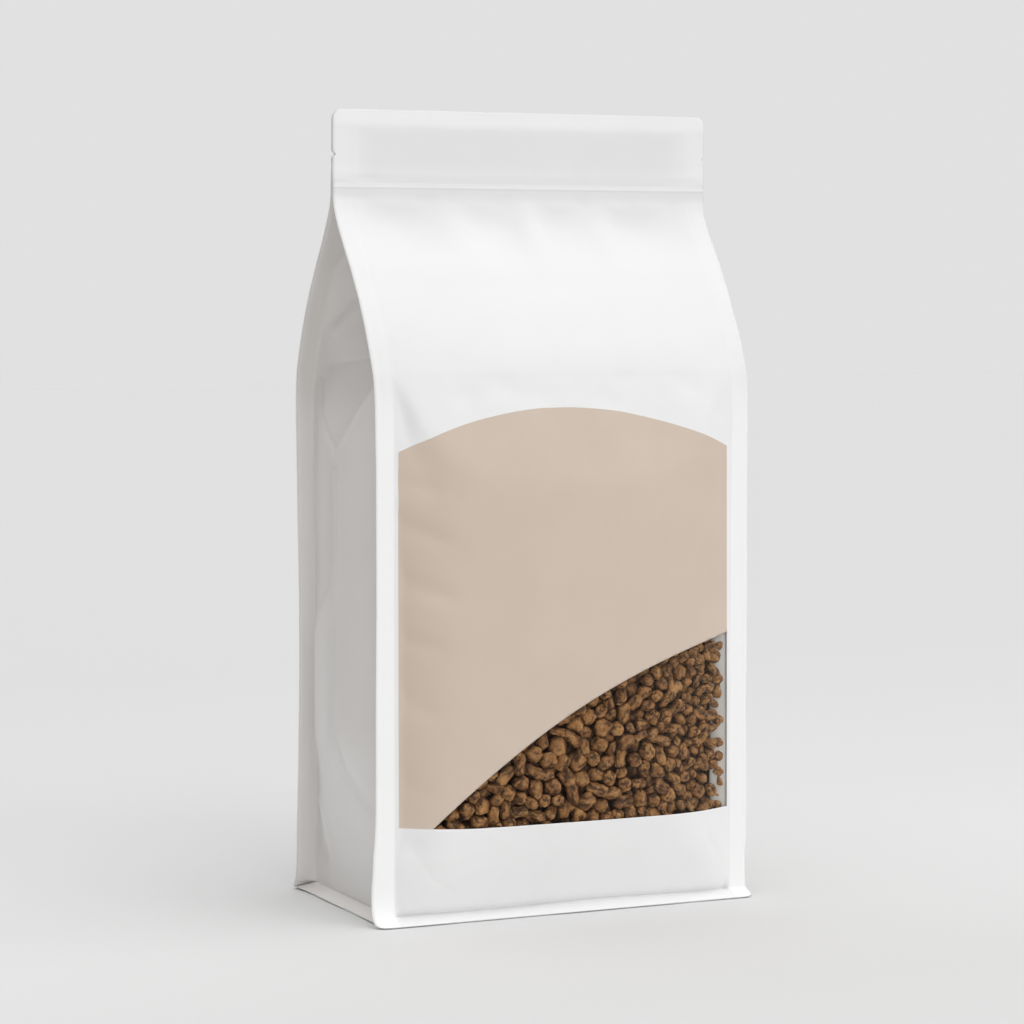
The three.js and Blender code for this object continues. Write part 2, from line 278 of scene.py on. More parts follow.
def panel_bulge(x, z, full=14.5, seed=3, front=True):
    ax = np.minimum(np.abs(x), FIN_IN)
    u = ax / FIN_IN
    side = (FIN_IN - ax) / FIN_IN
    low = np.clip((z - CREASE_Z) / 110.0, 0, 1)
    e = np.clip(softmin(side, low, np.where(x > 0, 0.11, 0.06)), 0, 1)
    amount = full - 0.006 * np.clip(z - 115, 0, 200)
    body = amount * (1 - (1 - e) ** 3.2)
    roof = ROOF(z) * (1 - u * u) + 0.15 * np.maximum(0, 284 - z)
    b = softmin(body, roof, 0.9)
    inside = smooth01((FIN_IN - ax) / 3.0)
    return np.maximum(b, 0) * np.where(ax >= FIN_IN, 0.0, 1.0) * np.where(b > 0, 1, inside)


def front_detail(x, z):
    d = np.zeros(np.shape(x))
    # puckers that run in from the left fin
    for a, b, h in [((-96, 230), (-74, 226), .95), ((-96, 209.5), (-70, 198), 1.1),
                    ((-96, 179.5), (-65, 168), 1.25), ((-96, 150), (-70, 141), 1.0),
                    ((-96, 119), (-75, 107), .9), ((-95, 76), (-79, 64), .6)]:
        dist, _, f = along(x, z, [a, b])
        d -= h * np.exp(-(dist / 5.2) ** 2) * smooth01((1.15 - f) / 0.5)
    for a, b, h in [((90, 226), (72, 219), .35), ((90, 190), (70, 184), .4), ((90, 163), (74, 158), .3)]:
        dist, _, f = along(x, z, [a, b])
        d -= h * np.exp(-(dist / 6.0) ** 2) * smooth01((1.15 - f) / 0.5) * smooth01((f + 0.15) / 0.5)
    # shallow dents above the arc where the wall meets the roof
    for cx, cz, rx, rz, h, ang in [(-58, 274, 9, 6, .8, 20), (-38, 279, 10, 6, .75, -15), (-19, 273.5, 9, 6, .7, 10),
                                   (21, 271, 10, 6, .6, -10), (31, 282, 9, 5, .5, 15), (71, 278, 11, 6, .7, -20),
                                   (-93, 262, 4.5, 13, 2.1, 14), (-84, 240, 10, 14, 1.5, 20), (90, 266, 5, 12, 1.6, -18),
                                   (-88, 41, 6, 5, .9, 30), (-60, 30, 20, 4, .35, 14),
                                   (84, 246, 9, 12, .7, -24)]:
        d -= h * blob(x, z, cx, cz, rx, rz, ang)
    # the fill falls away towards the left fin
    d -= 2.6 * np.exp(-np.maximum(0, x + 97.0) / 11.0) * smooth01((226 - z) / 50) * smooth01((z - 30) / 30)
    # pressed folds towards the foot of the fins
    d -= 0.7 * fold(x, z, [(78, 40), (88, 25), (96, 11)], 2.6, 0.2)
    d += 0.5 * fold(x, z, [(84, 42), (92, 28)], 3.4, 0.3)
    d -= 0.5 * fold(x, z, [(-93, 44), (-80, 24), (-64, 13)], 3.0, 0.2)
    # pinches just under the zip
    for cx, cz, rx, h in [(-57, 375.6, 7, .55), (-15, 374.6, 8, .6), (12, 374.8, 5, .35), (34, 375.2, 6, .5),
                          (-92, 376, 7, .3), (88, 375.5, 9, .35), (62, 375.5, 5, .25)]:
        d -= h * blob(x, z, cx, cz, rx, 3.2)
    # pinches at the ends of the bead
    for cx, h in [(-93, .45), (99, .45)]:
        d -= h * blob(x, z, cx, 388.0, 9, 1.7)
    body = smooth01((FIN_IN - np.abs(x)) / 10) * smooth01((z - 10) / 20) * smooth01((372 - z) / 30)
    d += body * (0.42 * lattice_noise(x, z, 44, 5) + 0.12 * lattice_noise(x, z, 17, 8))
    roof = smooth01((z - 286) / 30) * smooth01((368 - z) / 25) * smooth01((FIN_IN - np.abs(x)) / 20)
    d += roof * 0.35 * lattice_noise(x, z, 62, 12)
    # gentle waves in the header and its recessed field inside the seal
    head = smooth01((z - 389) / 3)
    d += head * 0.10 * lattice_noise(x, z, 30, 21)
    field = smooth01((98.2 - np.abs(x)) / 3.0) * smooth01((z - 389.0) / 3.0) * smooth01((416.0 - z) / 3.2)
    d -= 0.16 * field
    return d


def back_detail(x, z):
    d = np.zeros(np.shape(x))
    for a, b, h in [((-96, 214), (-72, 205), .9), ((96, 221), (74, 211), .9), ((96, 178), (68, 170), 1.1),
                    ((-96, 166), (-70, 160), .9), ((96, 132), (75, 124), .8), ((-96, 118), (-76, 109), .7)]:
        dist, _, f = along(x, z, [a, b])
        d -= h * np.exp(-(dist / 5.4) ** 2) * smooth01((1.15 - f) / 0.5)
    for cx, cz, rx, rz, h, ang in [(-64, 276, 10, 6, .8, -15), (-30, 281, 11, 6, .7, 10), (12, 275, 12, 6, .7, 0),
                                   (48, 279, 10, 6, .7, 15), (80, 272, 9, 7, .6, -20)]:
        d -= h * blob(x, z, cx, cz, rx, rz, ang)
    for cx, cz, rx, h in [(-70, 375.2, 7, .4), (-24, 375, 9, .5), (22, 375.2, 6, .4), (58, 375, 8, .45)]:
        d -= h * blob(x, z, cx, cz, rx, 3.2)
    body = smooth01((FIN_IN - np.abs(x)) / 10) * smooth01((z - 10) / 20) * smooth01((372 - z) / 30)
    d += body * (0.55 * lattice_noise(x, z, 47, 31) + 0.12 * lattice_noise(x, z, 18, 33))
    head = smooth01((z - 389) / 3)
    d += head * 0.10 * lattice_noise(x, z, 30, 35)
    field = smooth01((98.2 - np.abs(x)) / 3.0) * smooth01((z - 389.0) / 3.0) * smooth01((416.0 - z) / 3.2)
    return d - 0.16 * field


def fin_relief(x, z):
    """Pressed line along the fins and the small step at their inner edge."""
    ax = np.abs(x)
    body = smooth01((380 - z) / 6)
    step = 0.16 * smooth01((ax - 98.2) / 0.9)
    line = 0.14 * np.exp(-((ax - 105.6) / 0.5) ** 2)
    return -(step + line) * body


def kept_out(bulge, detail, x, z):
    """Bulge with its detail; a dent in the filled part stops short of the fin plane."""
    full = bulge + detail
    floor = -0.1 + 0.0 * bulge
    filled = smooth01((372 - z) / 8)
    return np.where(full < floor, full + (floor - full) * filled, full)


def front_out(x, z):
    """Distance of the front panel in front of the middle plane."""
    x, z = np.asarray(x, float), np.asarray(z, float)
    return half_depth(x, z) + kept_out(panel_bulge(x, z), front_detail(x, z), x, z) + fin_relief(x, z)


def back_out(x, z):
    x, z = np.asarray(x, float), np.asarray(z, float)
    return half_depth(-x * 0.93 + 4, z) + kept_out(panel_bulge(x, z, 13.5), back_detail(x, z), x, z) + fin_relief(x, z)


# --------------------------------------------------------- rows and columns
def panel_rows():
    z = spaced(CREASE_Z + 1.2, 40, 1.45) + spaced(40, 262, 1.75) + spaced(262, 292, 1.6) + spaced(292, 358, 1.9)
    z += spaced(358, 379, 1.3) + spaced(379, 381.8, 0.9) + spaced(381.8, 386.2, 0.44) + spaced(386.2, 393, 1.1)
    z += spaced(393, 397.5, 1.5) + [397.5, 398.5, 398.9, 399.3, 399.75, 400.2, 400.65, 401.1, 401.5, 401.9, 403]
    z += spaced(404.5, 412.5, 1.6) + spaced(412.5, 416, 0.7) + spaced(416, 421, 1.0)
    z += [421.0, 421.8, 422.5, 423.1, 423.5, 423.8, 424.0]
    return np.array(z)


PRINT_L, PRINT_R = -96.2, 95.25
FIN_F = [0.075, 0.15, 0.35, 0.6, 0.665, 0.73, 0.86, 1.0]


def body_cols(step=1.62):
    mid = spaced(PRINT_L, PRINT_R, step) + [PRINT_R]
    return np.array([-98.0, -97.2] + mid + [96.4, 97.2, 98.0])


def right_print(z):
    """Right edge of the printed and clear fields."""
    return 94.6 + 1.3 * np.clip((243 - z) / 190.0, 0, 1)


def panel_xs(z, left, right, cols):
    """x of every column on the row at height z."""
    x = cols.copy()
    shift = right_print(z) - PRINT_R
    hat = np.clip(np.minimum((x - 84) / (PRINT_R - 84), (98 - x) / (98 - PRINT_R)), 0, 1)
    x = x + shift * hat
    el, er = edge_x(left, z), edge_x(right, z)
    lf = [-(FIN_IN + (el - FIN_IN) * f) for f in reversed(FIN_F)]
    rf = [FIN_IN + (er - FIN_IN) * f for f in FIN_F]
    return np.array(lf + list(x) + rf)


def flange_path(x, s, tip):
    """(out, z) on the sheet from just above the base crease (s=0) to the flange edge (s=1).
    Sharp between the fins, a wide curl where the fin runs into the flange."""
    ax = np.abs(x)
    curl = smooth01((ax - 97.0) / 6.0) * np.where(x < 0, 1.0, 0.12)
    z0, out0 = 18.0, 0.0
    ctrl_z = CREASE_Z + 0.2 * curl
    # piecewise path with a short rounding at the crease
    k = 0.42 + 0.0 * ax
    down = np.clip(s / k, 0, 1)
    off = np.clip((s - k) / (1 - k), 0, 1)
    sharp_z = z0 + (ctrl_z - z0) * down + (tip[1] - ctrl_z) * off
    sharp_o = tip[0] * off
    b = s
    soft_z = (1 - b) ** 2 * z0 + 2 * b * (1 - b) * 2.6 + b * b * tip[1]
    soft_o = b * b * tip[0] + 2 * b * (1 - b) * 0.0
    return sharp_o * (1 - curl) + soft_o * curl, sharp_z * (1 - curl) + soft_z * curl


FLANGE_S = [1.0, 0.985, 0.94, 0.86, 0.77, 0.68, 0.59, 0.52, 0.47, 0.445, 0.43, 0.415, 0.39, 0.35, 0.29, 0.22, 0.15, 0.08]


def panel_sheet(front):
    """Vertices, faces, the length of a row and the number of flange rows."""
    out = front_out if front else back_out
    sign = -1.0 if front else 1.0
    left, right = (LEFT_EDGE, RIGHT_EDGE) if front else (BACK_LEFT_EDGE, RIGHT_EDGE)
    cols = body_cols()
    rows, xz = [], []
    for s in FLANGE_S:
        r_l, r_r = 6.0, 4.5
        d = (1 - s) * 20.0
        el = left(18 * (1 - s) + 1.0) - (r_l - math.sqrt(max(0, r_l ** 2 - max(0, r_l - d) ** 2)))
        er = right(18 * (1 - s) + 1.0) - (r_r - math.sqrt(max(0, r_r ** 2 - max(0, r_r - d) ** 2)))
        x = panel_xs(40.0, left, right, cols)
        nl = len(FIN_F)
        x[:nl] = [-(FIN_IN + (el - FIN_IN) * f) for f in reversed(FIN_F)]
        x[-nl:] = [FIN_IN + (er - FIN_IN) * f for f in FIN_F]
        wave = 0.35 * np.sin(x / 17.0 + (0.4 if front else 2.1)) + 0.25 * np.sin(x / 7.3 + 1.0)
        o, z = flange_path(x, np.full(len(x), s), (8.85, 0.85))
        off = np.clip((s - 0.42) / 0.58, 0, 1)
        mid = smooth01((97.6 - np.abs(x)) / 1.6)
        o = o + wave * off * 0.55 - 2.7 * mid * np.exp(-((s - 0.42) / np.where(s < 0.42, 0.085, 0.075)) ** 2)
        z = z + 0.5 * np.sin(x / 23.0 + 0.6) * np.exp(-((s - 0.42) / 0.25) ** 2) * smooth01((98 - np.abs(x)) / 20)
        z = np.maximum(z, 0.85)
        zz = np.maximum(z, CREASE_Z)
        y = FY + o + panel_bulge(x, zz) + (out(x, zz) - half_depth(x, zz) - panel_bulge(x, zz)) * smooth01((z - 4) / 12)
        rows.append(np.stack([x, sign * y, z], 1))
        xz.append(z)
    for z in np.concatenate([[18.0], panel_rows()[panel_rows() > 19.2]]):
        x = panel_xs(z, left, right, cols)
        rows.append(np.stack([x, sign * out(x, np.full(len(x), z)), np.full(len(x), z)], 1))
    V = np.concatenate(rows)
    n = len(rows[0])
    F = grid_faces(len(rows), n, flip=not front)
    return V, F, n, len(FLANGE_S)


# Printed field and clear window on the front panel, in (x, z).
ARC = Curve([(-112, 238.0), (-95.5, 246.3), (-83.4, 251.8), (-70.9, 256.9), (-57.9, 261.0), (-44.5, 264.1), (-31.0, 266.4),
             (-17.2, 267.7), (-3.3, 267.9), (10.6, 267.1), (24.6, 265.7), (38.8, 262.9), (53.3, 259.5),
             (68.4, 255.3), (84.3, 250.0), (92.8, 246.3), (112, 237.0)])
BASE_LINE = Curve([(-112, 51.2), (-95.8, 50.8), (-77.7, 50.1), (-52, 49.6), (-11, 49.4), (31, 49.2), (77, 49.3),
                   (94.1, 49.7), (112, 50.0)])


def diagonal(x):
    return -202.01 + np.sqrt(354.98 ** 2 - (np.asarray(x, float) - 170.28) ** 2)


def cut_along(V, F, fn, surface, zlo, zhi):
    """Splits every face that z = fn(x) crosses, putting the new points on the surface."""
    V = list(map(tuple, V))
    A = np.array(V)
    g = A[:, 2] - fn(A[:, 0])
    g = np.where(np.abs(g) < 0.02, 0.0, g)
    g = list(g)
    made, out = {}, []

    def crossing(a, b):
        key = (min(a, b), max(a, b))
        if key not in made:
            pa, pb = np.array(V[a]), np.array(V[b])
            lo, hi, glo = 0.0, 1.0, g[a]
            for _ in range(30):
                m = (lo + hi) / 2
                p = pa + (pb - pa) * m
                gm = p[2] - float(fn(p[0]))
                if gm * glo > 0:
                    lo = m
                else:
                    hi = m
            p = pa + (pb - pa) * (lo + hi) / 2
            y = surface(p[0], p[2])
            V.append((p[0], float(y), p[2]))
            g.append(0.0)
            made[key] = len(V) - 1
        return made[key]

    for f in F:
        gs = [g[i] for i in f]
        if not (min(gs) < 0 < max(gs)) or not all(zlo < V[i][2] < zhi for i in f):
            out.append(list(f))
            continue
        up, down = [], []
        for a, b in zip(f, list(f[1:]) + [f[0]]):
            if g[a] >= 0:
                up.append(a)
            if g[a] <= 0:
                down.append(a)
            if g[a] * g[b] < 0:
                c = crossing(a, b)
                up.append(c)
                down.append(c)
        for part in (up, down):
            if len(part) >= 3:
                out.append(part)
    # a face that was left whole still takes the new points on its edges, so no gap opens where a cut ends
    whole = []
    for f in out:
        ring = []
        for a, b in zip(f, list(f[1:]) + [f[0]]):
            ring.append(a)
            c = made.get((min(a, b), max(a, b)))
            if c is not None:
                ring.append(c)
        whole.append(ring)
    return np.array(V), whole


def seal_and_painted_shading_mask(V):
    """How light the laminate is drawn: 0 over the fill, 1 where plies are fused with nothing behind; negative values
    are painted shade on the roof, the left of the print and the header field, and the low band gets painted light.
    """
    ax, z = np.abs(V[:, 0]), V[:, 2]
    fin = smooth01((ax - 98.0) / 0.8)
    # painted shade: the upward-facing roof and its fins are drawn darker (upper), and so is the left part of the print
    # (left); painted light: the low band above the base is drawn lighter (low)
    upper = smooth01((z - 252) / 40)
    low = 0.12 * smooth01((52 - z) / 20)
    left = -0.30 * smooth01((-V[:, 0] - 66) / 30) * smooth01((215 - z) / 50) * (1 - fin)
    body = -0.36 * upper * (1 - smooth01((z - 372) / 8)) + low + left
    out = body + fin * (1 - body) * (1 - 0.93 * upper)
    # painted shade: the header field between the zip and the top border is drawn darker; the lighter border is the
    # fused plies
    field = -0.70 * smooth01((z - 373) / 7)
    edge = np.maximum(0.78 * smooth01((z - 411) / 8.0), 0.42 * smooth01((ax - 84) / 20.0) * smooth01((z - 386) / 3))
    head = field + (0.80 - field) * edge
    head = head + (0.30 - head) * smooth01((z - 382.8) / 0.6) * smooth01((384.6 - z) / 0.6)
    out = out + (head - out) * smooth01((z - 373) / 6)
    return np.clip(out + 0.5 * smooth01((3.2 - z) / 1.5), -1, 1)


def set_attr(ob, name, values):
    a = ob.data.attributes.new(name, "FLOAT", "POINT")
    a.data.foreach_set("value", np.asarray(values, np.float32))


def mesh_points(ob):
    n = len(ob.data.vertices)
    co = np.zeros(n * 3, np.float32)
    ob.data.vertices.foreach_get("co", co)
    return co.reshape(n, 3) / MM


def build_front():
    V, F, n, low = panel_sheet(True)
    surf = lambda x, z: -front_out(x, z)
    for fn in (BASE_LINE, diagonal, ARC):
        V, F = cut_along(V, F, fn, surf, 46, 300)
    keep, slots = [], []
    A = np.array(V)
    for f in F:
        c = A[f].mean(0)
        x, z = c[0], c[2]
        in_field = (PRINT_L < x < right_print(z)) and float(BASE_LINE(x)) < z < float(ARC(x))
        if in_field and z < float(diagonal(x)):
            continue
        keep.append(f)
        slots.append(1 if in_field else 0)
    used = sorted({i for f in keep for i in f})
    remap = {o: k for k, o in enumerate(used)}
    keep = [[remap[i] for i in f] for f in keep]
    ob = film_piece("front_panel_film", A[used], keep, slots)
    set_attr(ob, "seal_and_painted_shading", seal_and_painted_shading_mask(mesh_points(ob)))
    return ob


def build_back():
    V, F, n, low = panel_sheet(False)
    ob = film_piece("back_panel_film", V, F)
    set_attr(ob, "seal_and_painted_shading", seal_and_painted_shading_mask(mesh_points(ob)))
    return ob


# ------------------------------------------------------------------- gussets
TUCK = Curve([(234, 0), (240, 2.3), (246, 4.8), (254, 7.6), (262, 10.2), (272, 13.6), (285, 18.6), (300, 24.6), (320, 31.5), (342, 38.0), (360, 41.5), (379, 44.5), (424, 44.5)])
SIDE = Curve([(4, 0), (8, 1.6), (16, 3.3), (25, 4.9), (50, 7.6), (80, 8.8), (115, 9.0), (215, 9.0), (240, 8.3),
              (262, 6.8), (277, 5.0), (291, 3.0), (306, 1.6), (322, 0.6), (340, 0.0), (424, 0.0)])


def gusset_half(z):
    """Half distance between the two fin plies of a gusset."""
    z = np.asarray(z, float)
    flat = smooth01((z - 376.5) / 3.0)
    return (HALF_DEPTH(np.minimum(z, 380.0)) - 0.55) * (1 - flat) + 0.34 * flat


FOLD_Y = Curve([(200, 4), (228, 7), (236, 9), (243, 12), (261, 11), (285, 6), (310, 2), (340, 0), (380, 0)])
FOLD_W = Curve([(234, 2.2), (238, 4.2), (243, 8), (250, 14.5), (261, 27), (273, 40), (285, 52), (300, 62), (330, 70), (380, 70)])


def curl_out(z):
    """How far the foot of a fused fin has curled out of its plane at height z."""
    z = np.clip(z, 0.85, 18.0)
    # invert z = (1-s)^2 18 + 2 s (1-s) 2.6 + s^2 0.85
    a, b, c = 18 - 5.2 + 0.85, 5.2 - 36.0, 18.0 - z
    sq = np.sqrt(np.maximum(b * b - 4 * a * c, 0))
    t = np.clip((-b - sq) / (2 * a), 0, 1)
    return t * t * 8.85


def gusset_out(y, z, side):
    """Distance of the gusset wall from the middle of the bag. side is -1 left, 1 right."""
    y, z = np.asarray(y, float), np.asarray(z, float)
    half = gusset_half(z)
    t = np.clip(y / half, -1, 1)
    left = side < 0
    flip = 1.0 if left else -0.75
    yc = FOLD_Y(z) * flip
    # wall bulge with the soft vertical crease down its middle
    shape = 1 - np.abs(t) ** np.where(y * flip > 0, 1.9, 2.5)
    x = GX + SIDE(z) * shape
    ridge = smooth01((z - 62) / 40) * smooth01((236 - z) / 22)
    x += 1.5 * ridge * np.exp(-np.sqrt(((y - yc * 0.5 - 1.0) / 7.0) ** 2 + 0.006))
    # the film dips a little beside each fin before it swells out
    s_f = (1 - np.abs(t)) * half
    dip = np.where(y * flip > 0, smooth01((205 - z) / 60), smooth01((285 - z) / 30))
    x -= np.where(y * flip > 0, 0.5, 1.7) * (s_f / 2.8) * np.exp(1 - s_f / 2.8) * smooth01((z - 14) / 25) * dip
    # tuck: one fold inwards that opens downwards into an inverted triangle
    reach = np.where(y > yc, half - yc, half + yc)
    w = np.minimum(FOLD_W(z), np.maximum(reach, 0.5))
    ramp = np.clip(1 - np.abs(y - yc) / w, 0, 1) * smooth01((z - 232) / 4)
    rounded = softmin(ramp, np.full(np.shape(ramp), 0.985), 0.05)
    tuck = TUCK(z) * np.maximum(0, rounded)
    bow = TUCK(z) * 0.10 * np.sin(np.pi * ramp) * smooth01((z - 262) / 30) * smooth01((372 - z) / 40)
    x = x - tuck - bow
    d = np.zeros(np.shape(x))
    yy = y * flip
    # pressed creases of the inverted triangle and of the fold that runs down from it
    d -= 2.3 * np.exp(-(along(yy, z, [(57, 290), (47, 274), (37, 260), (25, 250), (13, 242), (5, 234), (3, 210), (3, 176)])[0] / 2.2) ** 2) * smooth01((296 - z) / 8) * smooth01((z - 172) / 30)
    dist, sg, f = along(yy, z, [(-47, 284), (-30, 271), (-16, 260), (-4, 250), (8, 241)])
    d += 1.0 * np.exp(-(dist / 3.0) ** 2) * smooth01(f / 0.1) * smooth01((1 - f) / 0.15)
    # light facet under the shoulder line, dark fold above it
    d -= 1.1 * fold(yy, z, [(53, 286.5), (34, 290), (12, 293), (-12, 294)], 2.6, 0.25)
    d += 1.5 * blob(yy, z, 32, 302, 16, 9, -10)
    d -= 2.6 * fold(yy, z, [(21, 331), (27, 325), (36, 315), (43, 309)], 2.6, 0.25)
    d += 1.9 * fold(yy, z, [(22, 322), (30, 314), (40, 303)], 4.0, 0.25)
    d -= 1.6 * fold(yy, z, [(6, 352), (12, 338), (16, 322)], 2.6, 0.25)
    d -= 1.3 * fold(yy, z, [(30, 366), (36, 340), (44, 318), (52, 300), (55, 288)], 2.6, 0.2)
    # long dent behind the middle crease and the ridge that sweeps to the back foot
    d -= 4.4 * blob(yy, z, 20, 206, 10, 34)
    dist, _, f = along(yy, z, [(8, 176), (23, 157), (35, 140), (38, 112), (37, 64)])
    d += 2.7 * np.exp(-(dist / 5.6) ** 2) * smooth01(f / 0.15) * smooth01((1 - f) / 0.25)
    d -= 2.0 * np.exp(-(along(yy, z, [(46, 150), (49, 110), (50, 66), (50, 40)])[0] / 3.6) ** 2) * smooth01((160 - z) / 30)
    d += 2.6 * fold(yy, z, [(1, 98), (-15, 77), (-47, 55)], 4.0, 0.15)
    d -= 1.7 * fold(yy, z, [(8, 88), (-8, 70), (-38, 50)], 3.4, 0.15)
    d -= 1.6 * blob(yy, z, -34, 92, 12, 20, 20)
    d -= 3.0 * fold(yy, z, [(50, 62), (41, 46), (33, 30), (38, 18), (49, 9)], 2.4, 0.2)
    d += 1.9 * fold(yy, z, [(44, 60), (33, 44), (25, 28), (27, 16)], 4.0, 0.25)
    d += 1.3 * blob(yy, z, 27, 116, 8, 34)
    d -= 1.3 * np.exp(-((yy - 3.5) / 1.3) ** 2) * smooth01((z - 92) / 12) * smooth01((175 - z) / 30)
    if not left:
        d *= 0.85
    d += 0.5 * lattice_noise(y, z, 30, 51 if left else 57) + 0.2 * lattice_noise(y, z, 12, 53 if left else 59)
    fade = smooth01((1 - np.abs(t)) * half / 7.0) * smooth01((z - 6) / 10) * smooth01((376 - z) / 30)
    return x + d * fade


def gusset_sheet(side):
    ts = np.array(spaced(-1, -0.9, 0.025) + spaced(-0.9, 0.9, 0.0265) + spaced(0.9, 1.0, 0.025) + [1.0])
    fin_l, fin_b = (LEFT_EDGE, BACK_LEFT_EDGE) if side < 0 else (RIGHT_EDGE, RIGHT_EDGE)
    zs = [4.2, 4.9, 5.8, 7.0, 8.6, 10.5] + list(spaced(12.5, 236, 1.9)) + list(spaced(236, 240, 1.3)) + spaced(240, 300, 1.25) + spaced(300, 376, 1.9)
    zs += spaced(376, 398, 1.0) + [398.5, 399.3, 400.2, 401.1, 401.9] + spaced(403, 418, 1.9) + [418, 419.5, 421, 422, 422.8, 423.4, 423.8, 424.0]
    rows = []
    ff = [1.0, 0.8, 0.6, 0.4, 0.2]
    for z in zs:
        half = float(gusset_half(z))
        y = ts * half
        if z > 376:
            y = np.sign(ts) * np.maximum(np.abs(y), np.minimum(0.33, 2.2 * np.abs(ts)))
        x = gusset_out(y, np.full(len(ts), z), side)
        ef, eb = float(edge_x(fin_l, max(z, 14))) - 0.12, float(edge_x(fin_b, max(z, 14))) - 0.12
        # the plies follow the curled foot of the fins
        foot = float(curl_out(z)) * (1.0 if side < 0 else 0.12)
        foot_x = lambda xx: foot * float(smooth01((xx - 97.0) / 6.0))
        back_off = 0.5 * float(smooth01((26 - z) / 6)) * (1.0 if side < 0 else 0.3)
        front = [(x[0] + (ef - x[0]) * f - back_off, -half - foot_x(x[0] + (ef - x[0]) * f) + back_off) for f in ff]
        back = [(x[-1] + (eb - x[-1]) * f, half + foot_x(x[-1] + (eb - x[-1]) * f)) for f in reversed(ff)]
        px = np.array([p[0] for p in front] + list(x) + [p[0] for p in back])
        py = np.array([p[1] for p in front] + list(y) + [p[1] for p in back])
        rows.append(np.stack([side * px, py, np.full(len(px), z)], 1))
    nf = len(ff)
    n = len(rows[0])
    F = grid_faces(len(rows), n, flip=side < 0)
    V = np.concatenate(rows)
    hi = V[:, 2] > 262
    front_lim = front_out(V[:, 0], V[:, 2]) - 0.42
    back_lim = back_out(V[:, 0], V[:, 2]) - 0.42
    V[:, 1] = np.where(hi & (V[:, 1] < -front_lim), -front_lim, V[:, 1])
    V[:, 1] = np.where(hi & (V[:, 1] > back_lim), back_lim, V[:, 1])
    # side base flange: from the crease out to its free edge on the floor
    first = np.arange(nf, n - nf)
    prev = list(first)
    steps = [0.12, 0.3, 0.5, 0.7, 0.88, 1.0]
    yb = V[first, 1]
    for s in steps:
        x0 = np.abs(V[first, 0])
        tip = 107.2 + (1.6 * smooth01((yb - 30) / 24) if side < 0 else 0.6 * smooth01((np.abs(yb) - 30) / 24))
        lift = (0.35 if side < 0 else 0.0) * smooth01((yb - 30) / 22)
        xx = x0 + (tip - x0) * s + 0.3 * np.sin(yb / 9.0) * s
        yy = yb * (1 + (0.150 if side < 0 else 0.148) * s)
        zz = 4.2 + (0.80 - 4.2) * s + lift * s - 0.35 * np.sin(np.pi * s)
        base = len(V)
        V = np.vstack([V, np.stack([side * xx, yy, np.maximum(zz, 0.62)], 1)])
        cur = list(range(base, base + len(first)))
        for i in range(len(first) - 1):
            q = [cur[i], cur[i + 1], prev[i + 1], prev[i]]
            F.append(q[::-1] if side < 0 else q)
        prev = cur
    return V, F


def build_gusset(side, name):
    V, F = gusset_sheet(side)
    ob = film_piece(name, V, F, thickness=0.28)
    P = mesh_points(ob)
    y, z = P[:, 1] * (1.0 if side < 0 else -1.0), P[:, 2]
    half = gusset_half(z)
    inset = half - np.abs(y)
    fused = smooth01((0.5 - inset) / 0.4)
    # painted shade and painted light on the gusset wall: darker beside the front fin, along the back, over the upper
    # tuck and in the long dent, lighter over the lower middle; the fused fin plies are drawn lighter
    tone_and_painted_shading = 0.85 * blob(y, z, 27, 104, 12, 46) + 0.75 * blob(y, z, -12, 48, 26, 34) + 0.45 * blob(y, z, 6, 60, 12, 26)
    tone_and_painted_shading -= 1.2 * np.exp(-(np.maximum(0, half + y - 1.0) / 8.5) ** 2) * smooth01((300 - z) / 40) * smooth01((z - 30) / 30)
    tone_and_painted_shading -= 0.95 * np.exp(-((y - 47) / 9.0) ** 2) * (1 - 0.6 * smooth01((z - 120) / 30) * smooth01((250 - z) / 30)) * smooth01((z - 14) / 12) * smooth01((330 - z) / 50)
    tone_and_painted_shading += 0.55 * smooth01((110 - z) / 40) * smooth01((40 - y) / 12)
    tone_and_painted_shading -= 0.40 * smooth01((z - 252) / 30) * smooth01((384 - z) / 30)
    tone_and_painted_shading -= 0.45 * blob(y, z, 20, 206, 10, 34)
    seal_and_painted_shading = np.where(z < 384, tone_and_painted_shading * (1 - fused) + 0.85 * fused * (1 - 0.9 * smooth01((z - 252) / 40)), 0.9)
    set_attr(ob, "seal_and_painted_shading", np.clip(seal_and_painted_shading, -1, 1))
    return ob


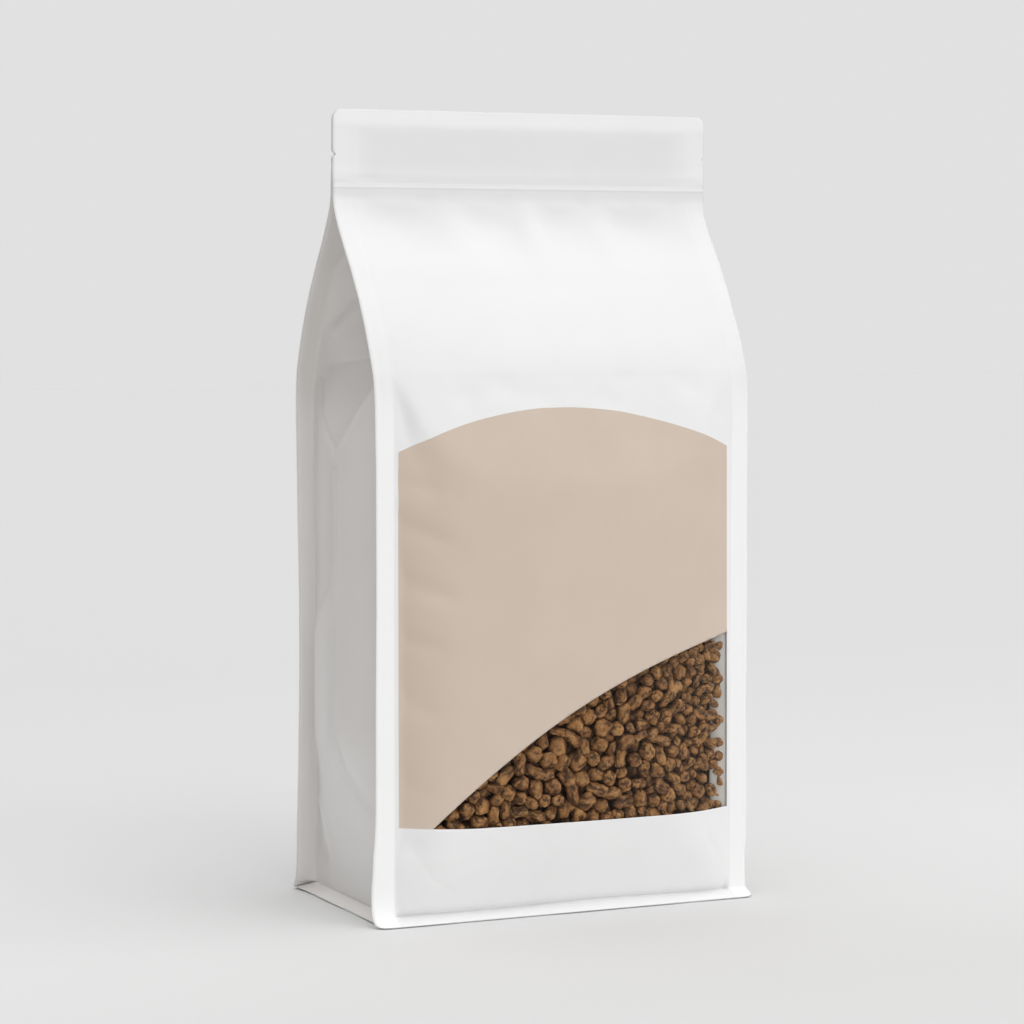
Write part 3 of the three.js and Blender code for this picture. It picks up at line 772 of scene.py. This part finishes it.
# -------------------------------------------------------------------- bottom
def build_bottom():
    ex, ey = 106.9, 64.6
    ax = spaced(0, 86, 6.2) + spaced(86, 98.4, 1.3) + spaced(98.4, ex, 1.1) + [ex]
    ay = spaced(0, 44, 5.5) + spaced(44, 56.3, 1.3) + spaced(56.3, ey, 1.1) + [ey]
    xs = np.array([-v for v in reversed(ax[1:])] + ax)
    ys = np.array([-v for v in reversed(ay[1:])] + ay)
    rows = []
    for y in ys:
        e = np.minimum(ex - np.abs(xs), ey - abs(y))
        up = 0.15 + 3.05 * np.clip(e / 8.5, 0, 1)
        lie = 0.15 + 3.05 * (1 - smooth01((e - 8.5) / 10.0))
        z = np.where(e < 8.5, up, lie) + 0.32 * np.clip(1 - e / 3.0, 0, 1)
        r = 5.0
        cx = np.maximum(0, np.abs(xs) - (ex - r))
        cy = max(0.0, abs(y) - (ey - r))
        dist = np.hypot(cx, cy)
        k = np.where(dist > r, r / np.maximum(dist, 1e-6), 1.0)
        x = np.sign(xs) * (np.minimum(np.abs(xs), ex - r) + cx * k)
        yy = np.sign(y) * (min(abs(y), ey - r) + cy * k)
        rows.append(np.stack([x, yy + 0 * x, np.maximum(z, 0.15)], 1))
    V = np.concatenate(rows)
    F = grid_faces(len(rows), len(xs))
    ob = film_piece("bottom_panel_film", V, F)
    P = mesh_points(ob)
    P[:, 2] = np.maximum(P[:, 2], 0.0)
    ob.data.vertices.foreach_set("co", (P * MM).astype(np.float32).ravel())
    set_attr(ob, "seal_and_painted_shading", smooth01((np.maximum(np.abs(P[:, 0]) - 98, np.abs(P[:, 1]) - 56) + 0.5) / 1.5))
    return ob


# -------------------------------------------------------------- window film
def build_window():
    xs = np.array(spaced(-88, 97.0, 2.6) + [97.0])
    zs = np.array(spaced(42, 158, 2.6) + [158.0])
    rows = []
    for z in zs:
        x = xs.copy()
        y = -(front_out(x, np.full(len(x), z)) - 0.5)
        rows.append(np.stack([x, y, np.full(len(x), z)], 1))
    V = np.concatenate(rows)
    return film_piece("window_film_clear", V, grid_faces(len(rows), len(xs)), thickness=0.16)


def build_margin():
    """Inner heat-seal margin that runs down the right side of the clear film."""
    zs = np.array(spaced(46, 152, 1.6) + [152.0])
    fs = np.linspace(0, 1, 13)
    rows = []
    for z in zs:
        x = 86.5 + (97.6 - 86.5) * fs
        y = -(front_out(x, np.full(len(x), z)) - 0.78 - 5.6 * ((97.6 - x) / 11.1) ** 1.7)
        rows.append(np.stack([x, y, np.full(len(x), z)], 1))
    V = np.concatenate(rows)
    return film_piece("window_seal_margin", V, grid_faces(len(rows), len(fs)), thickness=0.12)


# -------------------------------------------------------------------- kibble
def cube_sphere(n):
    """A ball of 6 n n quads, as unit vectors and faces."""
    V, F, index = [], [], {}
    g = np.tan(np.linspace(-1, 1, n + 1) * math.pi / 4)

    def point(p):
        key = tuple(round(c, 6) for c in p)
        if key not in index:
            index[key] = len(V)
            V.append(p)
        return index[key]

    for axis in range(3):
        for sgn in (-1, 1):
            for i in range(n):
                for j in range(n):
                    q = []
                    for a, b in ((i, j), (i + 1, j), (i + 1, j + 1), (i, j + 1)):
                        p = [0, 0, 0]
                        p[axis] = float(sgn)
                        p[(axis + 1) % 3] = g[a]
                        p[(axis + 2) % 3] = g[b]
                        q.append(point(p))
                    F.append(q if sgn > 0 else q[::-1])
    V = np.array(V)
    return V / np.linalg.norm(V, axis=1, keepdims=True), np.array(F)


def noise3(P, seed):
    """Smooth 3D value noise, -1..1."""
    rng = np.random.RandomState(seed)
    T = rng.uniform(-1, 1, (23, 23, 23))
    Q = P + 50.0
    I = np.floor(Q).astype(int)
    f = smooth01(Q - I)
    out = 0
    for dx in (0, 1):
        for dy in (0, 1):
            for dz in (0, 1):
                wgt = ((f[..., 0] if dx else 1 - f[..., 0]) * (f[..., 1] if dy else 1 - f[..., 1])
                       * (f[..., 2] if dz else 1 - f[..., 2]))
                out = out + wgt * T[(I[..., 0] + dx) % 23, (I[..., 1] + dy) % 23, (I[..., 2] + dz) % 23]
    return out


def rotation(rng):
    q = rng.normal(size=4)
    q /= np.linalg.norm(q)
    w, x, y, z = q
    return np.array([[1 - 2 * (y * y + z * z), 2 * (x * y - z * w), 2 * (x * z + y * w)],
                     [2 * (x * y + z * w), 1 - 2 * (x * x + z * z), 2 * (y * z - x * w)],
                     [2 * (x * z - y * w), 2 * (y * z + x * w), 1 - 2 * (x * x + y * y)]])


def kibble_piece(rng, S, size):
    """One rounded, knobbly piece about twice size across, and how far each point sits down in the hollows, which is
    drawn as painted shade.
    """
    kind = rng.rand()
    p = rng.uniform(2.2, 3.3)
    r = (np.abs(S) ** p).sum(1) ** (-1 / p)
    P = S * r[:, None]
    if kind < 0.5:
        dims = np.array([rng.uniform(.95, 1.2), rng.uniform(.85, 1.05), rng.uniform(.75, 1.0)])
    elif kind < 0.82:
        dims = np.array([rng.uniform(1.25, 1.55), rng.uniform(.76, .92), rng.uniform(.72, .88)])
        waist = 1 - rng.uniform(.12, .32) * np.exp(-(P[:, 0] / 0.42) ** 2)
        P[:, 1] *= waist
        P[:, 2] *= waist
    else:
        dims = np.array([rng.uniform(1.05, 1.25), rng.uniform(1.0, 1.2), rng.uniform(.7, .85)])
        P *= (1 + 0.17 * np.cos(3 * np.arctan2(P[:, 1], P[:, 0])) * (1 - np.clip(P[:, 2], -1, 1) ** 2))[:, None]
    P = P * dims * size
    s = int(rng.randint(1, 10000))
    big = noise3(S * 1.35 + s % 17, s)
    mid = noise3(S * 2.9 + s % 13, s + 1)
    low = noise3(S * 6.0 + s % 11, s + 2)
    P = P * (1 + 0.13 * big + 0.085 * mid + 0.035 * low)[:, None]
    painted_hollow_shade = np.clip(0.5 - 0.45 * big - 0.75 * mid - 0.5 * low, 0, 1)
    return P @ rotation(rng).T, painted_hollow_shade


def merge_pieces(name, parts, faces):
    """parts is [(points, random colour of the piece, painted shade of each point in the hollows)]."""
    V, F, T, H, at = [], [], [], [], 0
    for P, t, h in parts:
        V.append(P)
        F.append(faces + at)
        T.append(np.full(len(P), t))
        H.append(h)
        at += len(P)
    ob = new_mesh(name, np.concatenate(V), np.concatenate(F).tolist())
    set_attr(ob, "tone_and_painted_shading", np.concatenate(T))
    set_attr(ob, "painted_hollow_shade", np.concatenate(H))
    return ob


KIB_DEPTH = 17.0


def film_gap(x, z):
    """Inner face of the clear film."""
    return front_out(x, z) - 0.9


def pack_kibble():
    """Pieces dropped at random behind the window and pushed apart until they nearly touch."""
    rng = np.random.RandomState(11)
    xs0, xs1, z0, z1 = -88.0, 94.0, 42.0, 152.0
    pts = []
    while len(pts) < 440:
        x, z = rng.uniform(xs0, xs1), rng.uniform(z0, z1)
        if z > float(diagonal(x)) + 7:
            continue
        pts.append((x, rng.uniform(1, KIB_DEPTH - 2), z))
    P = np.array(pts)             # x, depth behind the film, z
    R = rng.uniform(3.0, 4.6, len(P)) * (1.08 - 0.26 * np.clip((P[:, 0] - 22) / 62, 0, 1))
    for it in range(140):
        D = P[:, None, :] - P[None, :, :]
        L = np.sqrt((D ** 2).sum(2)) + 1e-9
        over = np.clip(1.0 * (R[:, None] + R[None, :]) - L, 0, None)
        np.fill_diagonal(over, 0)
        P += 0.30 * ((D / L[..., None]) * over[..., None]).sum(1)
        P[:, 1] -= 0.08
        P[:, 0] = np.clip(P[:, 0], xs0, xs1 - R * 0.9)
        P[:, 2] = np.clip(P[:, 2], z0, z1)
        P[:, 2] = np.minimum(P[:, 2], diagonal(P[:, 0]) + 8)
        P[:, 1] = np.clip(P[:, 1], R * 0.95, KIB_DEPTH)
    return P, R


def build_kibble():
    rng = np.random.RandomState(29)
    P, R = pack_kibble()
    fine, fine_f = cube_sphere(8)
    mid, mid_f = cube_sphere(4)
    near = np.argsort(P[:, 1])[:210]
    first, second = set(near[::2].tolist()), set(near[1::2].tolist())
    groups = {"a": [], "b": [], "c": []}
    for i in range(len(P)):
        lvl = "a" if i in first else "b" if i in second else "c"
        K, painted_hollow_shade = kibble_piece(rng, mid if lvl == "c" else fine, R[i])
        x, d, z = P[i]
        d += rng.uniform(0, 1.1)
        K = K + np.array([x, -(float(film_gap(x, z)) - d), z])
        # a piece rests against the film without passing it
        lim = -film_gap(np.clip(K[:, 0], -97, 97), K[:, 2])
        short = float(np.max(lim + 0.05 - K[:, 1]))
        if short > 0:
            K[:, 1] += short
        # painted shade: dark where a neighbour closes in and further behind the film
        near_by = np.nonzero(np.linalg.norm(P - P[i], axis=1) < R + R[i] + 3.0)[0]
        C = np.stack([P[:, 0], P[:, 1] - film_gap(P[:, 0], P[:, 2]), P[:, 2]], 1)
        painted_contact_shade = np.zeros(len(K))
        for j in near_by:
            if j != i:
                painted_contact_shade = np.maximum(painted_contact_shade, 1 - (np.linalg.norm(K - C[j], axis=1) - R[j]) / 1.5)
        painted_deep_shade = (K[:, 1] + film_gap(np.clip(K[:, 0], -97, 97), K[:, 2]) - 2.2) / 4.6
        painted_hollow_shade = np.clip(np.maximum(np.maximum(painted_hollow_shade, 0.95 * painted_contact_shade), np.clip(painted_deep_shade, 0, 1) * 1.0), 0, 1)
        groups[lvl].append((K, rng.uniform(0, 1), painted_hollow_shade))
    a = merge_pieces("kibble_front_a", groups["a"], fine_f)
    b = merge_pieces("kibble_front_b", groups["b"], fine_f)
    c = merge_pieces("kibble_behind", groups["c"], mid_f)
    return a, b, c


def build_core():
    """The rest of the fill as one lumpy mass that keeps clear of the film."""
    zs = np.array([1.2, 2.4, 6] + list(np.linspace(10, 256, 64)) + [259, 262])
    na = 190
    ang = np.linspace(0, 2 * np.pi, na, endpoint=False)
    rows = []
    for k, z in enumerate(zs):
        ring = []
        shrink = {0: 9.0, 1: 4.0, 2: 1.0}.get(k, 0.0) + (0 if z < 246 else (z - 246) * 0.9)
        for a in ang:
            c, s = math.cos(a), math.sin(a)
            p = 9.0
            rr = (abs(c / 95.0) ** p + abs(s / 60.0) ** p) ** (-1 / p)
            x, y = rr * c, rr * s
            x = max(-94.0, min(94.0, x))
            ring.append((x, y))
        ring = np.array(ring)
        x, y = ring[:, 0].copy(), ring[:, 1].copy()
        zz = np.full(na, max(z, 5.0))
        yf = front_out(x, zz) - 2.6
        yb = back_out(x, zz) - 2.6
        # behind the window the loose pieces take the first part of the depth
        win = smooth01((x + 96) / 12) * smooth01((97 - x) / 3) * smooth01((z - 34) / 8) * smooth01((diagonal(x) + 16 - z) / 8)
        yf = yf - win * (KIB_DEPTH - 1.0)
        fy = np.clip(y / 60.0, -1, 1)
        y = np.where(fy < 0, fy * yf, fy * yb)
        gx = np.minimum(gusset_out(np.clip(y, -54, 54), zz, -1), gusset_out(np.clip(y, -54, 54), zz, 1)) - 2.6
        lim = np.maximum(gx, 60)
        x = np.clip(x * (lim / 95.0), -lim, lim)
        k2 = 1 - shrink / 60.0
        lump = 1.0 - 0.022 * (1 + noise3(np.stack([x, y, np.full(na, z)], 1) / 5.2, 77))
        rows.append(np.stack([x * k2 * lump, y * k2 * lump, np.full(na, z)], 1))
    V = np.concatenate(rows)
    F = []
    m = len(zs)
    for j in range(m - 1):
        for i in range(na):
            a, b = j * na + i, j * na + (i + 1) % na
            F.append([a, b, b + na, a + na])
    base = len(V)
    V = np.vstack([V, [[0, 0, zs[0] - 0.2]], [[0, 0, 267.0]]])
    for i in range(na):
        j = (i + 1) % na
        F.append([base, j, i])
        F.append([base + 1, (m - 1) * na + i, (m - 1) * na + j])
    ob = new_mesh("kibble_mass", V, F)
    set_attr(ob, "tone_and_painted_shading", 0.5 + 0.5 * noise3(V / 7.0, 5))
    # painted shade: the hollow attribute keeps the hidden mass mostly dark
    set_attr(ob, "painted_hollow_shade", 0.6 + 0.4 * noise3(V / 4.0, 6))
    return ob


# ----------------------------------------------------------------- materials
def material(name):
    m = bpy.data.materials.new(name)
    m.use_nodes = True
    nt = m.node_tree
    nt.nodes.clear()
    out = nt.nodes.new("ShaderNodeOutputMaterial")
    bsdf = nt.nodes.new("ShaderNodeBsdfPrincipled")
    nt.links.new(bsdf.outputs[0], out.inputs["Surface"])
    return m, nt, bsdf


def node(nt, kind, **props):
    n = nt.nodes.new(kind)
    for k, v in props.items():
        if k in n.inputs:
            n.inputs[k].default_value = v
        else:
            setattr(n, k, v)
    return n


def mix_colour(nt, fac, a, b, blend="MIX"):
    n = nt.nodes.new("ShaderNodeMix")
    n.data_type = "RGBA"
    n.blend_type = blend
    ins = [s for s in n.inputs if s.type == "RGBA"]
    f = [s for s in n.inputs if s.name == "Factor" and s.type == "VALUE"][0]
    for sock, val in ((f, fac), (ins[0], a), (ins[1], b)):
        if hasattr(val, "is_output"):
            nt.links.new(val, sock)
        else:
            sock.default_value = val
    return [s for s in n.outputs if s.type == "RGBA"][0]


def ramp(nt, src, stops):
    r = nt.nodes.new("ShaderNodeValToRGB")
    nt.links.new(src, r.inputs[0])
    el = r.color_ramp.elements
    while len(el) > 1:
        el.remove(el[0])
    el[0].position, el[0].color = stops[0][0], stops[0][1]
    for p, c in stops[1:]:
        e = el.new(p)
        e.color = c
    return r.outputs[0]


def maprange(nt, src, a, b, c, d):
    n = nt.nodes.new("ShaderNodeMapRange")
    nt.links.new(src, n.inputs[0])
    for i, v in enumerate((a, b, c, d)):
        n.inputs[i + 1].default_value = v
    return n.outputs[0]


def film_material(name, base, sealed_and_painted_light, rough=0.5, mottling=0.02, spec=0.35):
    """Matt laminate: near-even colour with soft mottling, a fine tooth and a satin sheen."""
    m, nt, bsdf = material(name)
    tc = node(nt, "ShaderNodeTexCoord")
    soft = node(nt, "ShaderNodeTexNoise", Scale=22.0, Detail=3.0, Roughness=0.55)
    fine = node(nt, "ShaderNodeTexNoise", Scale=1500.0, Detail=2.0, Roughness=0.6)
    mid = node(nt, "ShaderNodeTexNoise", Scale=160.0, Detail=3.0, Roughness=0.5)
    for n in (soft, fine, mid):
        nt.links.new(tc.outputs["Object"], n.inputs["Vector"])
    seal_and_painted_shading = node(nt, "ShaderNodeAttribute", attribute_name="seal_and_painted_shading")
    dark = tuple(c * (1 - mottling) for c in base[:3]) + (1,)
    light = tuple(min(1, c * (1 + mottling * 0.6)) for c in base[:3]) + (1,)
    body = mix_colour(nt, maprange(nt, soft.outputs[0], 0.3, 0.7, 0, 1), dark, light)
    # painted shade: negative seal values draw the film in this darker copy of its colour; positive values draw it
    # toward the lighter sealed colour, which is the fused plies and also painted light
    shade = tuple(c * 0.885 for c in base[:3]) + (1,)
    lower = mix_colour(nt, maprange(nt, seal_and_painted_shading.outputs["Fac"], -1.0, 0.0, 0.0, 1.0), shade, body)
    col = mix_colour(nt, maprange(nt, seal_and_painted_shading.outputs["Fac"], 0.0, 1.0, 0.0, 1.0), lower, sealed_and_painted_light)
    nt.links.new(col, bsdf.inputs["Base Color"])
    r = maprange(nt, mid.outputs[0], 0.3, 0.7, rough - 0.04, rough + 0.05)
    nt.links.new(r, bsdf.inputs["Roughness"])
    bsdf.inputs["Specular IOR Level"].default_value = spec
    bsdf.inputs["Sheen Weight"].default_value = 0.0
    add = node(nt, "ShaderNodeMath", operation="MULTIPLY_ADD")
    nt.links.new(mid.outputs[0], add.inputs[0])
    add.inputs[1].default_value = 1.6
    nt.links.new(fine.outputs[0], add.inputs[2])
    b = node(nt, "ShaderNodeBump", Strength=0.10, Distance=0.00035)
    nt.links.new(add.outputs[0], b.inputs["Height"])
    nt.links.new(b.outputs[0], bsdf.inputs["Normal"])
    return m


def kibble_material():
    """Baked kibble: tan crust on the high spots, painted shade in the hollows, where pieces meet and further behind the
    film, a grainy, slightly oily face.
    """
    m, nt, bsdf = material("kibble_baked")
    tc = node(nt, "ShaderNodeTexCoord")
    tone_and_painted_shading = node(nt, "ShaderNodeAttribute", attribute_name="tone_and_painted_shading")
    painted_hollow_shade = node(nt, "ShaderNodeAttribute", attribute_name="painted_hollow_shade")
    patch = node(nt, "ShaderNodeTexNoise", Scale=330.0, Detail=4.0, Roughness=0.6)
    grain = node(nt, "ShaderNodeTexNoise", Scale=1300.0, Detail=5.0, Roughness=0.7)
    pores = node(nt, "ShaderNodeTexVoronoi", Scale=800.0)
    for n in (patch, grain, pores):
        nt.links.new(tc.outputs["Object"], n.inputs["Vector"])
    base = ramp(nt, tone_and_painted_shading.outputs["Fac"], [(0.0, (0.27, 0.112, 0.032, 1)), (0.4, (0.37, 0.160, 0.045, 1)),
                                          (0.75, (0.47, 0.212, 0.062, 1)), (1.0, (0.56, 0.275, 0.090, 1))])
    toasted = mix_colour(nt, maprange(nt, patch.outputs[0], 0.42, 0.72, 0, 1), base, (0.64, 0.355, 0.135, 1))
    # painted shade: this near-black brown is mixed in for hollows, contacts between pieces and depth behind the film
    painted_deep_shade = mix_colour(nt, maprange(nt, painted_hollow_shade.outputs["Fac"], 0.35, 0.95, 0.0, 0.93), toasted, (0.045, 0.016, 0.005, 1))
    speck = mix_colour(nt, maprange(nt, grain.outputs[0], 0.42, 0.58, 0.5, 0.0), painted_deep_shade, (0.060, 0.022, 0.007, 1))
    nt.links.new(speck, bsdf.inputs["Base Color"])
    nt.links.new(maprange(nt, grain.outputs[0], 0.3, 0.7, 0.48, 0.68), bsdf.inputs["Roughness"])
    bsdf.inputs["Specular IOR Level"].default_value = 0.35
    add = node(nt, "ShaderNodeMath", operation="MULTIPLY_ADD")
    nt.links.new(pores.outputs["Distance"], add.inputs[0])
    add.inputs[1].default_value = -0.6
    nt.links.new(grain.outputs[0], add.inputs[2])
    b = node(nt, "ShaderNodeBump", Strength=0.7, Distance=0.0007)
    nt.links.new(add.outputs[0], b.inputs["Height"])
    nt.links.new(b.outputs[0], bsdf.inputs["Normal"])
    return m


def clear_material():
    m, nt, bsdf = material("clear_window_film")
    tc = node(nt, "ShaderNodeTexCoord")
    n = node(nt, "ShaderNodeTexNoise", Scale=60.0, Detail=2.0)
    nt.links.new(tc.outputs["Object"], n.inputs["Vector"])
    x = node(nt, "ShaderNodeSeparateXYZ")
    nt.links.new(tc.outputs["Object"], x.inputs[0])
    haze = maprange(nt, x.outputs[0], 0.0, 0.095, 0.0, 1.0)
    nt.links.new(mix_colour(nt, haze, (0.10, 0.09, 0.08, 1), (0.50, 0.45, 0.38, 1)), bsdf.inputs["Base Color"])
    bsdf.inputs["Alpha"].default_value = 0.025
    nt.links.new(maprange(nt, n.outputs[0], 0.3, 0.7, 0.14, 0.24), bsdf.inputs["Roughness"])
    bsdf.inputs["Specular IOR Level"].default_value = 0.5
    b = node(nt, "ShaderNodeBump", Strength=0.15, Distance=0.0008)
    nt.links.new(n.outputs[0], b.inputs["Height"])
    nt.links.new(b.outputs[0], bsdf.inputs["Normal"])
    return m


def zip_material():
    m, nt, bsdf = material("zip_strip")
    tc = node(nt, "ShaderNodeTexCoord")
    n = node(nt, "ShaderNodeTexNoise", Scale=300.0, Detail=3.0)
    nt.links.new(tc.outputs["Object"], n.inputs["Vector"])
    col = mix_colour(nt, n.outputs[0], (0.80, 0.80, 0.79, 1), (0.88, 0.88, 0.87, 1))
    nt.links.new(col, bsdf.inputs["Base Color"])
    nt.links.new(maprange(nt, n.outputs[0], 0.3, 0.7, 0.32, 0.42), bsdf.inputs["Roughness"])
    b = node(nt, "ShaderNodeBump", Strength=0.1, Distance=0.0003)
    nt.links.new(n.outputs[0], b.inputs["Height"])
    nt.links.new(b.outputs[0], bsdf.inputs["Normal"])
    return m


WHITE = film_material("white_film", (0.905, 0.905, 0.905, 1), (0.985, 0.985, 0.985, 1))
MARGIN = film_material("window_margin", (0.56, 0.54, 0.50, 1), (0.60, 0.575, 0.535, 1), mottling=0.05)
PRINT = film_material("beige_print", (0.676, 0.562, 0.468, 1), (0.676, 0.562, 0.468, 1), mottling=0.03)
# painted shade: the gusset walls use a darker, warmer copy of the white film
GUSSET_SHADED_FILM = film_material("gusset_film_painted_shade", (0.822, 0.795, 0.772, 1), (0.905, 0.886, 0.868, 1))
KIBBLE = kibble_material()
CLEAR = clear_material()
ZIP = zip_material()


def place(ob, mats, slot, *nodes):
    for m in mats:
        ob.data.materials.append(m)
    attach(ob, "root")
    if nodes:
        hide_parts(*nodes)
    return ob


place(build_front(), [WHITE, PRINT], "film", "front_panel")
place(build_back(), [WHITE], "film", "back_panel")
place(build_gusset(-1, "left_gusset_film"), [GUSSET_SHADED_FILM], "film", "left_gusset")
place(build_gusset(1, "right_gusset_film"), [GUSSET_SHADED_FILM], "film", "right_gusset")
place(build_bottom(), [WHITE], "film", "bottom_panel")
place(build_window(), [CLEAR], "clear_film", "window_film")
place(build_margin(), [MARGIN], "film")
for ob in build_kibble():
    place(ob, [KIBBLE], "kibble")
place(build_core(), [KIBBLE], "kibble", "kibble_fill")
for name in ("zip_groove_strip", "zip_rib_strip"):
    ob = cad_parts[name]
    ob.data.materials.clear()
    ob.data.materials.append(ZIP)


# ------------------------------------------------------------ floor and light
def build_floor():
    n = 40
    ext = np.linspace(-1, 1, n) ** 3 * 9000
    V = np.array([[x, y, 0.0] for y in ext for x in ext])
    ob = new_mesh("floor", V, grid_faces(n, n))
    m, nt, bsdf = material("pale_floor")
    tc = node(nt, "ShaderNodeTexCoord")
    sx = node(nt, "ShaderNodeSeparateXYZ")
    nt.links.new(tc.outputs["Object"], sx.inputs[0])
    far = maprange(nt, sx.outputs[1], 0.05, 1.0, 0.0, 1.0)
    front = maprange(nt, sx.outputs[1], -0.09, -0.26, 0.0, 1.0)
    behind = mix_colour(nt, far, (0.773, 0.773, 0.773, 1), (0.727, 0.727, 0.727, 1))
    nt.links.new(mix_colour(nt, front, behind, (0.727, 0.727, 0.727, 1)), bsdf.inputs["Base Color"])
    bsdf.inputs["Roughness"].default_value = 1.0
    bsdf.inputs["Specular IOR Level"].default_value = 0.0
    ob.data.materials.append(m)
    return ob


build_floor()


def world_light():
    w = bpy.data.worlds.new("studio")
    bpy.context.scene.world = w
    w.use_nodes = True
    nt = w.node_tree
    nt.nodes.clear()
    out = nt.nodes.new("ShaderNodeOutputWorld")
    tc = nt.nodes.new("ShaderNodeTexCoord")
    dot = node(nt, "ShaderNodeVectorMath", operation="DOT_PRODUCT")
    nt.links.new(tc.outputs["Generated"], dot.inputs[0])
    g = Vector((0.75, -0.45, 0.5)).normalized()
    dot.inputs[1].default_value = g
    level = maprange(nt, dot.outputs["Value"], -1, 1, 0.06, 0.14)
    light = nt.nodes.new("ShaderNodeBackground")
    light.inputs["Color"].default_value = (1.0, 0.997, 0.99, 1)
    nt.links.new(level, light.inputs["Strength"])
    seen = nt.nodes.new("ShaderNodeBackground")
    seen.inputs["Color"].default_value = (0.752, 0.752, 0.752, 1)
    lp = nt.nodes.new("ShaderNodeLightPath")
    mix = nt.nodes.new("ShaderNodeMixShader")
    nt.links.new(lp.outputs["Is Camera Ray"], mix.inputs[0])
    nt.links.new(light.outputs[0], mix.inputs[1])
    nt.links.new(seen.outputs[0], mix.inputs[2])
    nt.links.new(mix.outputs[0], out.inputs["Surface"])


world_light()


def sun(name, direction, strength, angle):
    """direction is where the light comes from."""
    d = bpy.data.lights.new(name, "SUN")
    d.energy = strength
    d.angle = math.radians(angle)
    ob = bpy.data.objects.new(name, d)
    bpy.context.scene.collection.objects.link(ob)
    ob.rotation_euler = (-Vector(direction)).to_track_quat("-Z", "Y").to_euler()
    return ob


sun("top", (0.0, 0.0, 1.0), 2.30, 90)
sun("front", (0.25, -1.0, 0.45), 0.88, 55)
sun("left", (-0.8, -0.75, 0.25), 0.17, 35)
sun("side", (1.0, -0.5, 0.6), 0.41, 60)
